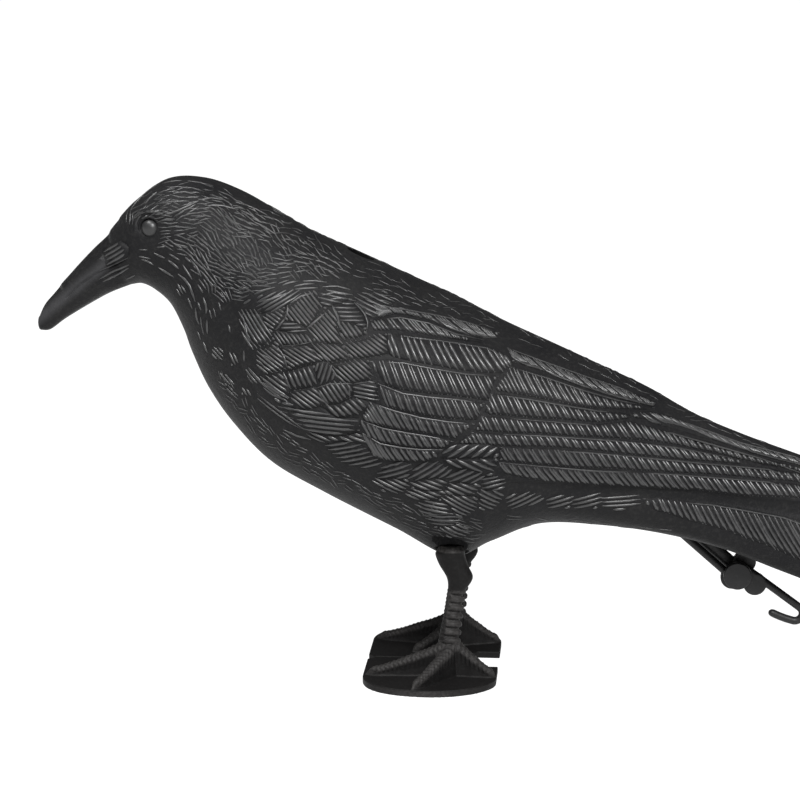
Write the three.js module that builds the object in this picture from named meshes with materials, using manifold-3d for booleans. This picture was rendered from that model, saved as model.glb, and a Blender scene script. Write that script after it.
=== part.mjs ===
// Crow decoy that stands on two moulded legs with foot plates, with a hanging clip under the tail.
// Millimetres, +Z up. The beak points to -X, the tail to +X and the bird's left side is -Y.
// The pieces are drawn about the leg axis on the ground, and the group then centres their box.
import * as THREE from "three";
import { mergeVertices } from "three/addons/utils/BufferGeometryUtils.js";
import Module from "manifold-3d";

// Body sizes.
const BODY_LENGTH = 380; // beak tip to tail tip, along X
const BODY_WIDTH = 102; // under the relief of the wings
const BELLY_HEIGHT = 51; // ground to the lowest point of the belly
const WING_RELIEF = 1.6; // how far the folded wings stand proud
const FEATHER_STEP = 0.8; // height of one feather over the next
const MOUTH_GROOVE = 1.6; // width of the line between the mandibles
const EYE_DIAMETER = 5.6;
const EYE_RING_DIAMETER = 9.4;
const EYE_RING_THICKNESS = 1.6;
const EYE_YAW = 14; // degrees that the eye looks ahead of straight out
const TUFT_LENGTH = 10; // bristles over each nostril
const TUFT_SLOPE = -38;
const TUFT_YAW = 16;
const TUFT_SHAPE = [1, 0.3, 0.36]; // its length, thickness and height as shares of the length
const EYE_SUNK = 0.5; // how deep the middle of an eye is in the skin
const TUFT_SUNK = 0.7;

// The hole in the back.
const HOLE_LENGTH = 13;
const HOLE_WIDTH = 9;
const HOLE_DEPTH = 16;
const HOLE_TILT = 23; // degrees that it leans with the slope of the back

// Legs and foot plates.
const LEG_SPACING = 44;
const FOOT_LENGTH = 58;
const FOOT_WIDTH = 46.4;
const FOOT_TO_REAR = 19; // leg axis to the rear end of a plate
const FOOT_GAP = 1.2; // between the two plates
const PLATE_THICKNESS = 3;
const PLATE_CHAMFER = 0.8;
const HEEL_NOTCH = 10; // how far the rear inner corner of a plate is cut back
const HEEL_RUN = 10; // length of that cut
const CORNER_CUT = 3; // off the front inner corner
const EDGE_START = 0.42; // where the bowed edge meets the ends, as a share of the foot's width
const EDGE_ROUND = [0.11, 0.22]; // how round it is at the front and the rear, of the width
const EDGE_LEAN = 0.017; // how much it leans at both ends, of the length
const EDGE_PULL = [0.24, 0.28]; // its straight middle to the front and the rear, of the length
const THIGH_RISE = 10; // from belly height to the shoulder that the tenon stands on
const THIGH_HEIGHT = 20; // heel to shoulder
const THIGH_LENGTH = 11.6;
const THIGH_WIDTH = 10;
const TARSUS_LENGTH = 7.6;
const TARSUS_WIDTH = 6.4;
const TARSUS_ROOT = 4; // how far the tarsus starts below the ankle
const TARSUS_LEAN = [-0.32, 0.13]; // place of its foot and top behind the leg axis, of its length
const ANKLE_FLARE = 1.4; // how much it widens down to the ankle
const SCUTE_PITCH = 3.7;
const SCUTE_RELIEF = 0.55;
const ANKLE_HEIGHT = 17;
const TOE_THICKNESS = 6.4;
const TOE_TAPER = 0.5; // share of the thickness lost to the claw
const TOE_SPREAD = 1.15; // how much wider a toe is where it is filled down to the plate
const TOE_JOINTS = 3;
const JOINT_NECK = [0.7, 0.86]; // where a joint is thinnest, and how thin, as shares
const TOE_ARCH = 0.8; // how it comes down to the plate: 1 straight, less than 1 steeper at first
const TOE_LIFT = 0.4; // axis of a toe's end over the plate
const CLAW_SHARE = 0.2; // thickness of a claw, as a share of the toe's
const CLAW_MARGIN = 1; // the forward claw to the plate's front end
const OUTER_TOE_SHORTER = 9; // than the forward toe
const INNER_TOE_SHORTER = 13;
const SIDE_TOE_DROP = 1; // how far below the ankle the side toes start
const HALLUX_RISE = 1; // how far above it the hind toe starts
const ROOT_DEPTH = 0.5; // how deep one form of a leg is rooted in the next
const TENON_LENGTH = 8;
const TENON_WIDTH = 5;
const TENON_IN = 2; // how far the tenon stands in from the leg axis
const TENON_HEIGHT = 14;
const FIT_GAP = 0.3; // between a piece and the socket or neighbour that it meets
const SOCKET_MARGIN = 1.5; // how much wider the mouth of a leg socket is than the thigh
const SOCKET_MOUTH_DEPTH = 0.6; // from the thigh's shoulder to the floor of the mouth
const RECESS_LENGTH = 14.6; // the recess in the belly's side over each thigh
const RECESS_WIDTH = 11.4;
const RECESS_OUT = 7.9; // from the leg axis out to its middle
const RECESS_RISE = 6.5; // from the thigh's shoulder to its roof
const SOCKET_LEAD = 0.8; // how far the mouth lies ahead of the leg axis

// Hanging clip.
const ROD_DIAMETER = 3.5;
const DISC_DIAMETER = 10;
const DISC_THICKNESS = 3.4;
const CLIP_SLOPE = 41; // degrees below level, towards the tail
const JAW_LENGTH = 28; // visible and socketed length of the lower jaw
const JAW_SPREAD = 3.9; // between the axes of the two jaws
const UPPER_JAW_DEPTH = 6; // the upper jaw is a flattened rod
const UPPER_EYE_RISE = 4.4; // eye of the upper jaw over its axis
const JAW_SOCKET_DEPTH = 12; // from where a jaw's visible length starts
const HOOK_LENGTH = 22; // where the rod leaves the eye of the hook to its bend
const HOOK_SLOPE = 36; // degrees below level, towards the tail
const HOOK_TAIL = 6; // the rod's end behind its eye, under the pivot
const HOOK_BEND_RADIUS = 3.4;
const HOOK_RETURN = 11; // bend of the hook to its tip
const HOOK_TIP_SLOPE = 18; // degrees that the returning arm rises towards its tip
const EYE_SLOPE = 15; // from the eye of the lower jaw to the eye of the hook
const PIVOT_DIAMETER = 12.2;
const PIVOT_PLACE = [2.2, 1.8]; // from the eye of the lower jaw to the pivot, along X and up

const THIGH_TOP = BELLY_HEIGHT + THIGH_RISE;
const rad = THREE.MathUtils.degToRad;
const share = BODY_LENGTH / 100;

const wasm = await Module();
wasm.setup();

// Solids in and out of three.js geometry.
function solid(geometry) {
  const bare = geometry.clone();
  bare.deleteAttribute("normal");
  bare.deleteAttribute("uv");
  const merged = mergeVertices(bare, 1e-5);
  return new wasm.Manifold(new wasm.Mesh({
    numProp: 3,
    vertProperties: new Float32Array(merged.attributes.position.array),
    triVerts: new Uint32Array(merged.index.array),
  }));
}

function geometryOf(manifold) {
  const mesh = manifold.getMesh();
  const geometry = new THREE.BufferGeometry();
  geometry.setAttribute("position", new THREE.BufferAttribute(new Float32Array(mesh.vertProperties), 3));
  geometry.setIndex(new THREE.BufferAttribute(new Uint32Array(mesh.triVerts), 1));
  geometry.computeVertexNormals();
  return geometry;
}

const together = (pieces) => pieces.reduce((sum, piece) => sum.add(piece));

// A closed skin over rings of equal point counts, with a fan at each end.
function skin(rings) {
  const count = rings[0].length;
  const vertices = rings.flat();
  const faces = [];
  for (let ring = 0; ring < rings.length - 1; ring++) {
    for (let k = 0; k < count; k++) {
      const a = ring * count + k;
      const b = ring * count + (k + 1) % count;
      faces.push(a, b, b + count, a, b + count, a + count);
    }
  }
  const last = (rings.length - 1) * count;
  for (const ring of [rings[0], rings[rings.length - 1]]) {
    const sum = ring.reduce((total, point) => total.add(point), new THREE.Vector3());
    vertices.push(sum.divideScalar(count));
  }
  for (let k = 0; k < count; k++) {
    const next = (k + 1) % count;
    faces.push(vertices.length - 2, next, k);
    faces.push(vertices.length - 1, last + k, last + next);
  }
  const geometry = new THREE.BufferGeometry();
  const numbers = vertices.flatMap((point) => point.toArray());
  geometry.setAttribute("position", new THREE.Float32BufferAttribute(numbers, 3));
  geometry.setIndex(faces);
  return geometry;
}

// Catmull-Rom through a column of a table, at a place counted in rows.
function along(table, column, place) {
  const last = table.length - 1;
  const row = Math.min(Math.floor(place), last - 1);
  const u = place - row;
  const at = (index) => table[Math.min(Math.max(index, 0), last)][column];
  const [a, b, c, d] = [at(row - 1), at(row), at(row + 1), at(row + 2)];
  return b + 0.5 * u * (c - a + u * (2 * a - 5 * b + 4 * c - d + u * (3 * (b - c) + d - a)));
}

// The body from beak to tail, in hundredths of its length from the leg axis at belly height:
// top x, top z, bottom x, bottom z, half width, then the shape of the cross-section as the depth
// at which it is widest and how square it is above and below that (1 a diamond, 2 an ellipse).
const STATIONS = [
  [-48.0, 27.2, -47.9, 25.6, 0.5, 0.5, 2.0, 2.0],
  [-47.3, 28.6, -46.8, 25.7, 0.9, 0.55, 1.8, 2.0],
  [-46.0, 30.1, -45.0, 27.0, 1.2, 0.55, 1.7, 2.0],
  [-43.6, 32.9, -42.4, 28.6, 1.7, 0.55, 1.7, 2.0],
  [-41.5, 35.1, -39.9, 30.0, 2.15, 0.55, 1.7, 2.0],
  [-39.9, 36.6, -37.7, 30.9, 2.6, 0.55, 1.7, 2.0],
  [-39.5, 37.3, -37.0, 31.1, 3.3, 0.52, 1.9, 2.0],
  [-38.4, 38.6, -35.8, 31.2, 4.1, 0.5, 2.0, 2.0],
  [-36.5, 40.7, -34.3, 30.5, 5.0, 0.48, 2.1, 2.0],
  [-32.8, 43.2, -32.5, 28.8, 5.9, 0.47, 2.1, 2.0],
  [-28.7, 43.3, -31.1, 25.9, 6.7, 0.46, 2.1, 2.0],
  [-24.6, 41.9, -30.2, 23.3, 7.8, 0.45, 2.0, 2.0],
  [-20.5, 39.6, -28.3, 19.3, 9.3, 0.44, 2.0, 2.1],
  [-16.5, 37.3, -25.4, 15.2, 11.0, 0.44, 2.0, 2.1],
  [-11.1, 34.9, -21.1, 10.9, 12.5, 0.44, 2.0, 2.1],
  [-5.6, 32.4, -15.1, 7.5, 13.3, 0.44, 2.0, 2.1],
  [-0.2, 30.0, -6.9, 3.4, 13.42, 0.45, 2.0, 2.1],
  [5.2, 27.3, -0.5, 0.2, 12.9, 0.46, 1.95, 2.1],
  [10.7, 24.9, 4.1, 2.2, 11.8, 0.5, 1.85, 2.2],
  [16.1, 22.5, 9.6, 4.5, 10.5, 0.54, 1.75, 2.4],
  [21.6, 20.0, 16.4, 4.6, 9.1, 0.6, 1.7, 2.8],
  [27.0, 17.0, 23.3, 3.9, 7.8, 0.66, 1.65, 3.4],
  [32.5, 14.7, 30.1, 2.3, 6.6, 0.7, 1.6, 4.2],
  [38.7, 12.5, 37.0, -0.3, 5.7, 0.74, 1.6, 5.0],
  [44.7, 10.4, 43.4, -2.8, 5.0, 0.76, 1.6, 5.0],
  [47.2, 7.2, 46.8, -4.1, 4.8, 0.76, 1.6, 5.0],
  [50.5, 2.6, 50.0, -5.1, 4.4, 0.7, 1.8, 4.0],
  [52.2, -1.4, 51.9, -5.1, 3.4, 0.6, 2.0, 3.0],
];
const WIDEST = Math.max(...STATIONS.map((row) => row[4]));
const widthShare = BODY_WIDTH / 2 / WIDEST;

// One cross-section: where its top and bottom are, its half width and its shape.
function sectionAt(place) {
  const value = (column) => along(STATIONS, column, place);
  return {
    top: new THREE.Vector2(value(0) * share, BELLY_HEIGHT + value(1) * share),
    bottom: new THREE.Vector2(value(2) * share, BELLY_HEIGHT + value(3) * share),
    half: value(4) * widthShare,
    widest: value(5),
    above: value(6),
    below: value(7),
  };
}

// The half width of a cross-section at a depth from 0 at its top to 1 at its bottom.
function halfWidthAt(section, depth) {
  const up = depth < section.widest;
  const reach = up ? 1 - depth / section.widest : (depth - section.widest) / (1 - section.widest);
  const power = up ? section.above : section.below;
  return section.half * Math.max(0, 1 - Math.min(reach, 1) ** power) ** (1 / power);
}

// A point of the body's skin, turned from 0 at the top over the left side (PI) to the top again.
function bodyPoint(place, turn) {
  const section = sectionAt(place);
  const lean = Math.cos(turn);
  const power = lean > 0 ? section.above : section.below;
  const reach = Math.abs(lean) ** (2 / power);
  const depth = lean > 0 ? section.widest * (1 - reach) : section.widest + (1 - section.widest) * reach;
  const spot = section.top.clone().lerp(section.bottom, depth);
  const side = -section.half * Math.sign(Math.sin(turn)) * Math.abs(Math.sin(turn)) ** (2 / power);
  return new THREE.Vector3(spot.x, side, spot.y);
}

const BODY_RINGS = 54;
const BODY_SIDES = 28;

function bodySkin() {
  const rings = [];
  for (let ring = 0; ring <= BODY_RINGS; ring++) {
    const place = ring / BODY_RINGS * (STATIONS.length - 1);
    const points = [];
    for (let k = 0; k < BODY_SIDES; k++) {
      points.push(bodyPoint(place, 2 * Math.PI * k / BODY_SIDES));
    }
    rings.push(points);
  }
  return skin(rings);
}

// How far the skin stands from the middle plane at a spot seen from the side.
function sideAt(x, z) {
  let low = 0;
  let high = STATIONS.length - 1;
  for (let step = 0; step < 30; step++) {
    const middle = (low + high) / 2;
    const { top, bottom } = sectionAt(middle);
    const ahead = (bottom.x - top.x) * (z - top.y) - (bottom.y - top.y) * (x - top.x);
    if (ahead > 0) low = middle;
    else high = middle;
  }
  const section = sectionAt(low);
  const depth = (section.top.y - z) / (section.top.y - section.bottom.y);
  return halfWidthAt(section, THREE.MathUtils.clamp(depth, 0, 1));
}

const spotOf = ([x, z]) => [x * share, BELLY_HEIGHT + z * share];

// The folded wing, from the shoulder to its tip: upper edge x and z, lower edge x and z,
// in hundredths of the body's length.
const WING = [
  [-25.1, 28.2, -24.5, 25.3],
  [-21.2, 30.4, -21.3, 19.9],
  [-14.4, 32.1, -15.6, 15.8],
  [-6.9, 30.0, -8.4, 13.8],
  [-0.6, 28.8, -1.2, 13.5],
  [5.0, 26.7, 5.4, 11.5],
  [10.7, 23.7, 12.0, 11.2],
  [16.4, 21.5, 18.6, 10.6],
  [22.4, 18.5, 25.2, 9.8],
  [27.9, 15.7, 31.3, 8.7],
  [32.5, 13.5, 36.4, 8.0],
  [38.8, 11.6, 40.9, 7.1],
  [44.4, 9.9, 44.9, 5.8],
];
const FEATHER_ROWS = 7;
const EDGE_BACK = 0.12; // share of a row from a feather's raised edge back to its own line
const EDGE_ON = 0.02; // and on to where the next feather starts
const WING_COLUMNS = 22;
const WING_ROOT = 0.55; // how deep a wing is rooted, as a share of the body's half width
const SUNK_EDGE = 0.6; // how far its front, upper and rear edges are sunk in the skin
const SLOPE_LINES = 4; // lines and columns over which it rises out of the skin
const SLOPE_COLUMNS = 3;
const SHOULDER_END = 8; // column where the small shoulder feathers end
const COVERT_END = 12; // column where the coverts end over the flight feathers

// The relief of one spot of the wing, as a share of a feather step: each feather rises to its
// lower edge, and the small ones rise to their tips as well, in staggered rows.
function featherRise(column, line) {
  const feather = Math.floor(line / 2);
  const edge = line % 2;
  const rise = 0.2 + 0.8 * edge;
  if (column < SHOULDER_END) return 0.5 * rise + 0.5 * ((column + feather) % 2);
  if (column <= COVERT_END) return 0.6 + rise;
  return rise;
}

function wingPad(side) {
  const rings = [];
  const lines = FEATHER_ROWS * 2;
  for (let column = 0; column <= WING_COLUMNS; column++) {
    const place = column / WING_COLUMNS * (WING.length - 1);
    const upper = new THREE.Vector2(...spotOf([along(WING, 0, place), along(WING, 1, place)]));
    const lower = new THREE.Vector2(...spotOf([along(WING, 2, place), along(WING, 3, place)]));
    const outer = [];
    const inner = [];
    for (let line = 0; line <= lines; line++) {
      const across = (Math.ceil(line / 2) + (line % 2 ? -EDGE_BACK : EDGE_ON)) / FEATHER_ROWS;
      const spot = upper.clone().lerp(lower, THREE.MathUtils.clamp(across, 0, 1));
      const skinSide = sideAt(spot.x, spot.y);
      const border = column === 0 || column === WING_COLUMNS || line === 0;
      const slope = Math.min(1, line / SLOPE_LINES, column / SLOPE_COLUMNS);
      const rise = WING_RELIEF * slope + FEATHER_STEP * featherRise(column, line);
      outer.push(new THREE.Vector3(spot.x, side * (skinSide + (border ? -SUNK_EDGE : rise)), spot.y));
      inner.push(new THREE.Vector3(spot.x, side * skinSide * WING_ROOT, spot.y));
    }
    const ring = [...outer, ...inner.reverse()];
    rings.push(side < 0 ? ring : ring.reverse());
  }
  return solid(skin(rings));
}

// A bar along a path with a round or lozenge section.
function bar(points, radius, sides, steps = points.length - 1) {
  const path = points.length > 2 ? new THREE.CatmullRomCurve3(points) : new THREE.LineCurve3(...points);
  const section = new THREE.Shape();
  for (let k = 0; k < sides; k++) {
    const angle = 2 * Math.PI * k / sides;
    section[k ? "lineTo" : "moveTo"](radius * Math.cos(angle), radius * Math.sin(angle));
  }
  section.closePath();
  return solid(new THREE.ExtrudeGeometry(section, { steps, extrudePath: path, bevelEnabled: false }));
}

// An upright oval post, and a disc across the bird.
function post(length, width, height, sides = 16) {
  return new THREE.CylinderGeometry(0.5, 0.5, height, sides).rotateX(Math.PI / 2).scale(length, width, 1);
}
function disc(diameter, thickness, x, y, z, sides = 16) {
  return solid(new THREE.CylinderGeometry(diameter / 2, diameter / 2, thickness, sides).translate(x, y, z));
}

// The corner of the mouth to the tip, in hundredths of the body's length.
const MOUTH = [[-36.9, 34.7], [-39.3, 33.4], [-41.2, 32.4], [-43.3, 30.9], [-45.0, 29.2]];
const EYE = [-34.2, 38.2];
const NOSTRIL = [-39.9, 34.9];
const BACK_HOLE = [-10.9, 35.1];
const CLIP_ROOT = [26.1, 2.7]; // where the lower jaw leaves the tail's underside

function headDetails(side) {
  const [eyeX, eyeZ] = spotOf(EYE);
  const eyeY = side * (sideAt(eyeX, eyeZ) - EYE_SUNK);
  const dome = new THREE.SphereGeometry(EYE_DIAMETER / 2, 12, 6).translate(eyeX, eyeY, eyeZ);
  const ringRadius = (EYE_RING_DIAMETER - EYE_RING_THICKNESS) / 2;
  const ring = new THREE.TorusGeometry(ringRadius, EYE_RING_THICKNESS / 2, 5, 12);
  ring.rotateX(Math.PI / 2).rotateZ(side * rad(EYE_YAW)).translate(eyeX, eyeY, eyeZ);
  const [tuftX, tuftZ] = spotOf(NOSTRIL);
  const tuft = new THREE.SphereGeometry(TUFT_LENGTH / 2, 8, 6).scale(...TUFT_SHAPE);
  tuft.rotateY(rad(TUFT_SLOPE)).rotateZ(side * rad(TUFT_YAW));
  tuft.translate(tuftX, side * (sideAt(tuftX, tuftZ) - TUFT_SUNK), tuftZ);
  return together([dome, ring, tuft].map(solid));
}

function mouthGroove(side) {
  const points = MOUTH.map(spotOf).map(([x, z]) => new THREE.Vector3(x, side * sideAt(x, z), z));
  return bar(points, MOUTH_GROOVE / 2, 4, 8);
}

// Legs. The left one is drawn and the right one mirrors it.
const legY = -LEG_SPACING / 2;

// The plate under one foot, about the leg axis: a bowed outer edge, a straight inner edge and a
// rear inner corner cut back.
function plate() {
  const front = FOOT_TO_REAR - FOOT_LENGTH;
  const inner = LEG_SPACING / 2 - FOOT_GAP / 2;
  const outer = inner - FOOT_WIDTH;
  const bow = (FOOT_TO_REAR + front) / 2;
  const start = outer + FOOT_WIDTH * EDGE_START;
  const lean = FOOT_LENGTH * EDGE_LEAN;
  const [ahead, behind] = EDGE_PULL.map((part) => FOOT_LENGTH * part);
  const [frontRound, rearRound] = EDGE_ROUND.map((part) => FOOT_WIDTH * part);
  const outline = new THREE.Shape();
  outline.moveTo(front, inner - CORNER_CUT);
  outline.lineTo(front, start);
  outline.bezierCurveTo(front + lean, outer + frontRound, bow - ahead, outer, bow, outer);
  outline.bezierCurveTo(bow + behind, outer, FOOT_TO_REAR - lean, outer + rearRound, FOOT_TO_REAR, start);
  outline.lineTo(FOOT_TO_REAR, inner - HEEL_NOTCH);
  outline.lineTo(FOOT_TO_REAR - HEEL_RUN, inner - HEEL_NOTCH);
  outline.lineTo(0, inner);
  outline.lineTo(front + CORNER_CUT, inner);
  const geometry = new THREE.ExtrudeGeometry(outline, {
    depth: PLATE_THICKNESS - 2 * PLATE_CHAMFER,
    bevelThickness: PLATE_CHAMFER,
    bevelSize: PLATE_CHAMFER,
    bevelOffset: -PLATE_CHAMFER,
    bevelSegments: 1,
    curveSegments: 6,
  });
  return solid(geometry.translate(0, 0, PLATE_CHAMFER));
}

// A limb through a list of [x, y, z, half length, half width] with rings across a given direction.
function limb(stops, across, up, sides = 10) {
  const rings = stops.map(([x, y, z, length, width]) => {
    const ring = [];
    for (let k = 0; k < sides; k++) {
      const angle = 2 * Math.PI * k / sides;
      ring.push(new THREE.Vector3(x, y, z)
        .addScaledVector(across, length * Math.cos(angle))
        .addScaledVector(up, width * Math.sin(angle)));
    }
    return ring;
  });
  return solid(skin(rings));
}

const X_AXIS = new THREE.Vector3(1, 0, 0);
const Y_AXIS = new THREE.Vector3(0, 1, 0);

// The thigh from the heel to its shoulder, as shares: how far below the shoulder of its height, how
// far behind the leg axis and its half length of its length, and its half width of its width.
const THIGH_STOPS = [
  [1, 0.12, 0.33, 0.32],
  [0.825, 0.224, 0.44, 0.36],
  [0.675, 0.207, 0.51, 0.39],
  [0.45, 0, 0.535, 0.41],
  [0.175, -0.13, 0.55, 0.5],
  [0, -0.086, 0.5, 0.5],
];

// Shank and thigh: scaled rings up the tarsus, a heel, then the thigh that widens to its shoulder.
function shank() {
  const stops = [];
  const foot = ANKLE_HEIGHT - TARSUS_ROOT;
  const scutes = Math.floor((THIGH_TOP - THIGH_HEIGHT - foot) / SCUTE_PITCH);
  for (let scute = 0; scute < scutes; scute++) {
    const z = foot + scute * SCUTE_PITCH;
    const lean = TARSUS_LENGTH * THREE.MathUtils.lerp(...TARSUS_LEAN, scute / scutes);
    const half = TARSUS_LENGTH / 2 + ANKLE_FLARE * (1 - scute / scutes) ** 2;
    stops.push([lean, 0, z, half - SCUTE_RELIEF, TARSUS_WIDTH / 2 - SCUTE_RELIEF / 2]);
    stops.push([lean, 0, z + SCUTE_PITCH * 0.75, half, TARSUS_WIDTH / 2]);
  }
  for (const [below, lean, half, halfWidth] of THIGH_STOPS) {
    const z = THIGH_TOP - THIGH_HEIGHT * below;
    stops.push([THIGH_LENGTH * lean, 0, z, THIGH_LENGTH * half, THIGH_WIDTH * halfWidth]);
  }
  return limb(stops, X_AXIS, Y_AXIS, 10);
}

// One toe from the ankle to its claw, filled beneath down to the plate.
function toe(heading, reach, height) {
  const out = new THREE.Vector3(Math.cos(rad(heading)), Math.sin(rad(heading)), 0);
  const across = new THREE.Vector3(-out.y, out.x, 0);
  const half = TOE_THICKNESS / 2;
  const rings = [];
  const addRing = (run, z, size) => {
    const middle = out.clone().multiplyScalar(reach * run);
    const foot = size * TOE_SPREAD;
    const section = [[size, z], [size / 2, z + size * 0.87], [-size / 2, z + size * 0.87], [-size, z]];
    section.push([-foot, PLATE_THICKNESS - ROOT_DEPTH], [foot, PLATE_THICKNESS - ROOT_DEPTH]);
    rings.push(section.map(([aside, up]) => middle.clone().addScaledVector(across, aside).setZ(up)));
  };
  for (let joint = 0; joint <= TOE_JOINTS; joint++) {
    for (const [part, swell] of [[0, 1], JOINT_NECK]) {
      const run = (joint + part) / (TOE_JOINTS + 1);
      const z = THREE.MathUtils.lerp(height, PLATE_THICKNESS + TOE_LIFT, run ** TOE_ARCH);
      addRing(run, z, half * (1 - TOE_TAPER * run) * swell);
    }
  }
  addRing(1, PLATE_THICKNESS, half * CLAW_SHARE);
  return solid(skin(rings));
}

// Toes: heading in degrees, reach and the height that they start at.
const FORE_REACH = FOOT_LENGTH - FOOT_TO_REAR - CLAW_MARGIN;
const TOES = [
  [187, FORE_REACH, ANKLE_HEIGHT], // forward
  [236, FORE_REACH - OUTER_TOE_SHORTER, ANKLE_HEIGHT - SIDE_TOE_DROP], // outward
  [143, FORE_REACH - INNER_TOE_SHORTER, ANKLE_HEIGHT - SIDE_TOE_DROP], // inward
  [-12, FOOT_TO_REAR, ANKLE_HEIGHT + HALLUX_RISE], // hallux
];

function leg() {
  const tenon = post(TENON_LENGTH, TENON_WIDTH, TENON_HEIGHT);
  tenon.translate(0, TENON_IN, THIGH_TOP + TENON_HEIGHT / 2 - ROOT_DEPTH);
  const toes = TOES.map((numbers) => toe(...numbers));
  return together([plate(), shank(), solid(tenon), ...toes]).translate([0, legY, 0]);
}

function legSocket() {
  const mouthLength = THIGH_LENGTH + 2 * SOCKET_MARGIN;
  const mouthWidth = THIGH_WIDTH + 2 * SOCKET_MARGIN;
  const mouthTop = THIGH_TOP + SOCKET_MOUTH_DEPTH;
  const mouth = post(mouthLength, mouthWidth, mouthTop).translate(-SOCKET_LEAD, legY, mouthTop / 2);
  const recessTop = THIGH_TOP + RECESS_RISE;
  const recess = post(RECESS_LENGTH, RECESS_WIDTH, recessTop);
  recess.translate(-SOCKET_LEAD, legY - RECESS_OUT, recessTop / 2);
  const deep = TENON_HEIGHT + FIT_GAP;
  const bore = solid(post(TENON_LENGTH + 2 * FIT_GAP, TENON_WIDTH + 2 * FIT_GAP, deep + 1)
    .translate(0, legY + TENON_IN, THIGH_TOP + deep / 2));
  return together([solid(mouth), solid(recess), bore]);
}

const mirrored = (manifold) => manifold.mirror([0, 1, 0]);

// The clip: two jaws that start in sockets under the tail root, a pivot disc and a hook.
const clipDown = new THREE.Vector3(Math.cos(rad(CLIP_SLOPE)), 0, -Math.sin(rad(CLIP_SLOPE)));
const clipUp = new THREE.Vector3(Math.sin(rad(CLIP_SLOPE)), 0, Math.cos(rad(CLIP_SLOPE)));
const clipRoot = (() => {
  const [x, z] = spotOf(CLIP_ROOT);
  return new THREE.Vector3(x, 0, z);
})();
const layer = DISC_THICKNESS + FIT_GAP;
const lowerStart = clipRoot.clone().addScaledVector(clipDown, -JAW_SOCKET_DEPTH);
const lowerEnd = clipRoot.clone().addScaledVector(clipDown, JAW_LENGTH);
const upperStart = lowerStart.clone().addScaledVector(clipUp, JAW_SPREAD);
const upperEnd = lowerEnd.clone().addScaledVector(clipUp, JAW_SPREAD);
const upperEye = upperEnd.clone().addScaledVector(clipUp, UPPER_EYE_RISE).setY(layer);
const downAt = (slope) => new THREE.Vector3(Math.cos(rad(slope)), 0, -Math.sin(rad(slope)));
const hookEye = lowerEnd.clone().addScaledVector(downAt(EYE_SLOPE), DISC_DIAMETER + FIT_GAP);
const pivotSpot = lowerEnd.clone().add(new THREE.Vector3(PIVOT_PLACE[0], -layer, PIVOT_PLACE[1]));

const rod = (from, to, width = ROD_DIAMETER) => bar([from, to], width / 2, 8);
const eyeDisc = ({ x, y, z }) => disc(DISC_DIAMETER, DISC_THICKNESS, x, y, z);

// The upper jaw's flattened rod, in the layer behind the other one.
function upperRod(from, to, margin) {
  const depth = UPPER_JAW_DEPTH + 2 * margin;
  return rod(from, to, depth).scale([1, (ROD_DIAMETER + 2 * margin) / depth, 1]).translate([0, layer, 0]);
}

// The hook: a rod that leaves the top of its eye, bends round below itself and comes back.
function clipHook() {
  const normal = (slope) => new THREE.Vector3(Math.sin(rad(slope)), 0, Math.cos(rad(slope)));
  const start = hookEye.clone().addScaledVector(normal(HOOK_SLOPE), (DISC_DIAMETER - ROD_DIAMETER) / 2);
  const bendStart = start.clone().addScaledVector(downAt(HOOK_SLOPE), HOOK_LENGTH);
  const centre = bendStart.clone().addScaledVector(normal(HOOK_SLOPE), -HOOK_BEND_RADIUS);
  const turn = 180 - HOOK_SLOPE + HOOK_TIP_SLOPE;
  const tail = start.clone().addScaledVector(downAt(HOOK_SLOPE), -HOOK_TAIL);
  const points = [tail, start, start.clone().lerp(bendStart, 0.5)];
  const arcSteps = 5;
  for (let step = 0; step <= arcSteps; step++) {
    const slope = HOOK_SLOPE + turn * step / arcSteps;
    points.push(centre.clone().addScaledVector(normal(slope), HOOK_BEND_RADIUS));
  }
  const last = points[points.length - 1];
  points.push(last.clone().addScaledVector(downAt(HOOK_TIP_SLOPE), -HOOK_RETURN / 2));
  points.push(last.clone().addScaledVector(downAt(HOOK_TIP_SLOPE), -HOOK_RETURN));
  return eyeDisc(hookEye).add(bar(points, ROD_DIAMETER / 2, 8, 2 * points.length));
}

function jawSockets() {
  const back = clipDown.clone().multiplyScalar(-FIT_GAP);
  const lower = rod(lowerStart.clone().add(back), lowerEnd, ROD_DIAMETER + 2 * FIT_GAP);
  return lower.add(upperRod(upperStart.clone().add(back), upperEnd, FIT_GAP));
}

// Room in the tail's underside for the eye of the upper jaw.
function eyePocket() {
  const { x, y, z } = upperEye;
  return disc(DISC_DIAMETER + 2 * FIT_GAP, DISC_THICKNESS + 2 * FIT_GAP, x, y, z);
}

// The decoy's pieces.
function body() {
  const [holeX, holeZ] = spotOf(BACK_HOLE);
  const hole = post(HOLE_LENGTH, HOLE_WIDTH, 2 * HOLE_DEPTH).rotateY(rad(HOLE_TILT));
  const whole = together([solid(bodySkin()), wingPad(-1), wingPad(1), headDetails(-1), headDetails(1)]);
  const cuts = [solid(hole.translate(holeX, 0, holeZ)), mouthGroove(-1), mouthGroove(1)];
  cuts.push(legSocket(), mirrored(legSocket()));
  cuts.push(jawSockets(), eyePocket());
  return whole.subtract(together(cuts));
}

const PLASTIC = { color: 0x17171a, roughness: 0.5, metalness: 0 };
const LEG_PLASTIC = { color: 0x1c1a1a, roughness: 0.55, metalness: 0 };
const CLIP_PLASTIC = { color: 0x141416, roughness: 0.6, metalness: 0 };

function piece(name, manifold, look) {
  const mesh = new THREE.Mesh(geometryOf(manifold), new THREE.MeshStandardMaterial(look));
  mesh.name = name;
  return mesh;
}

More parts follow.
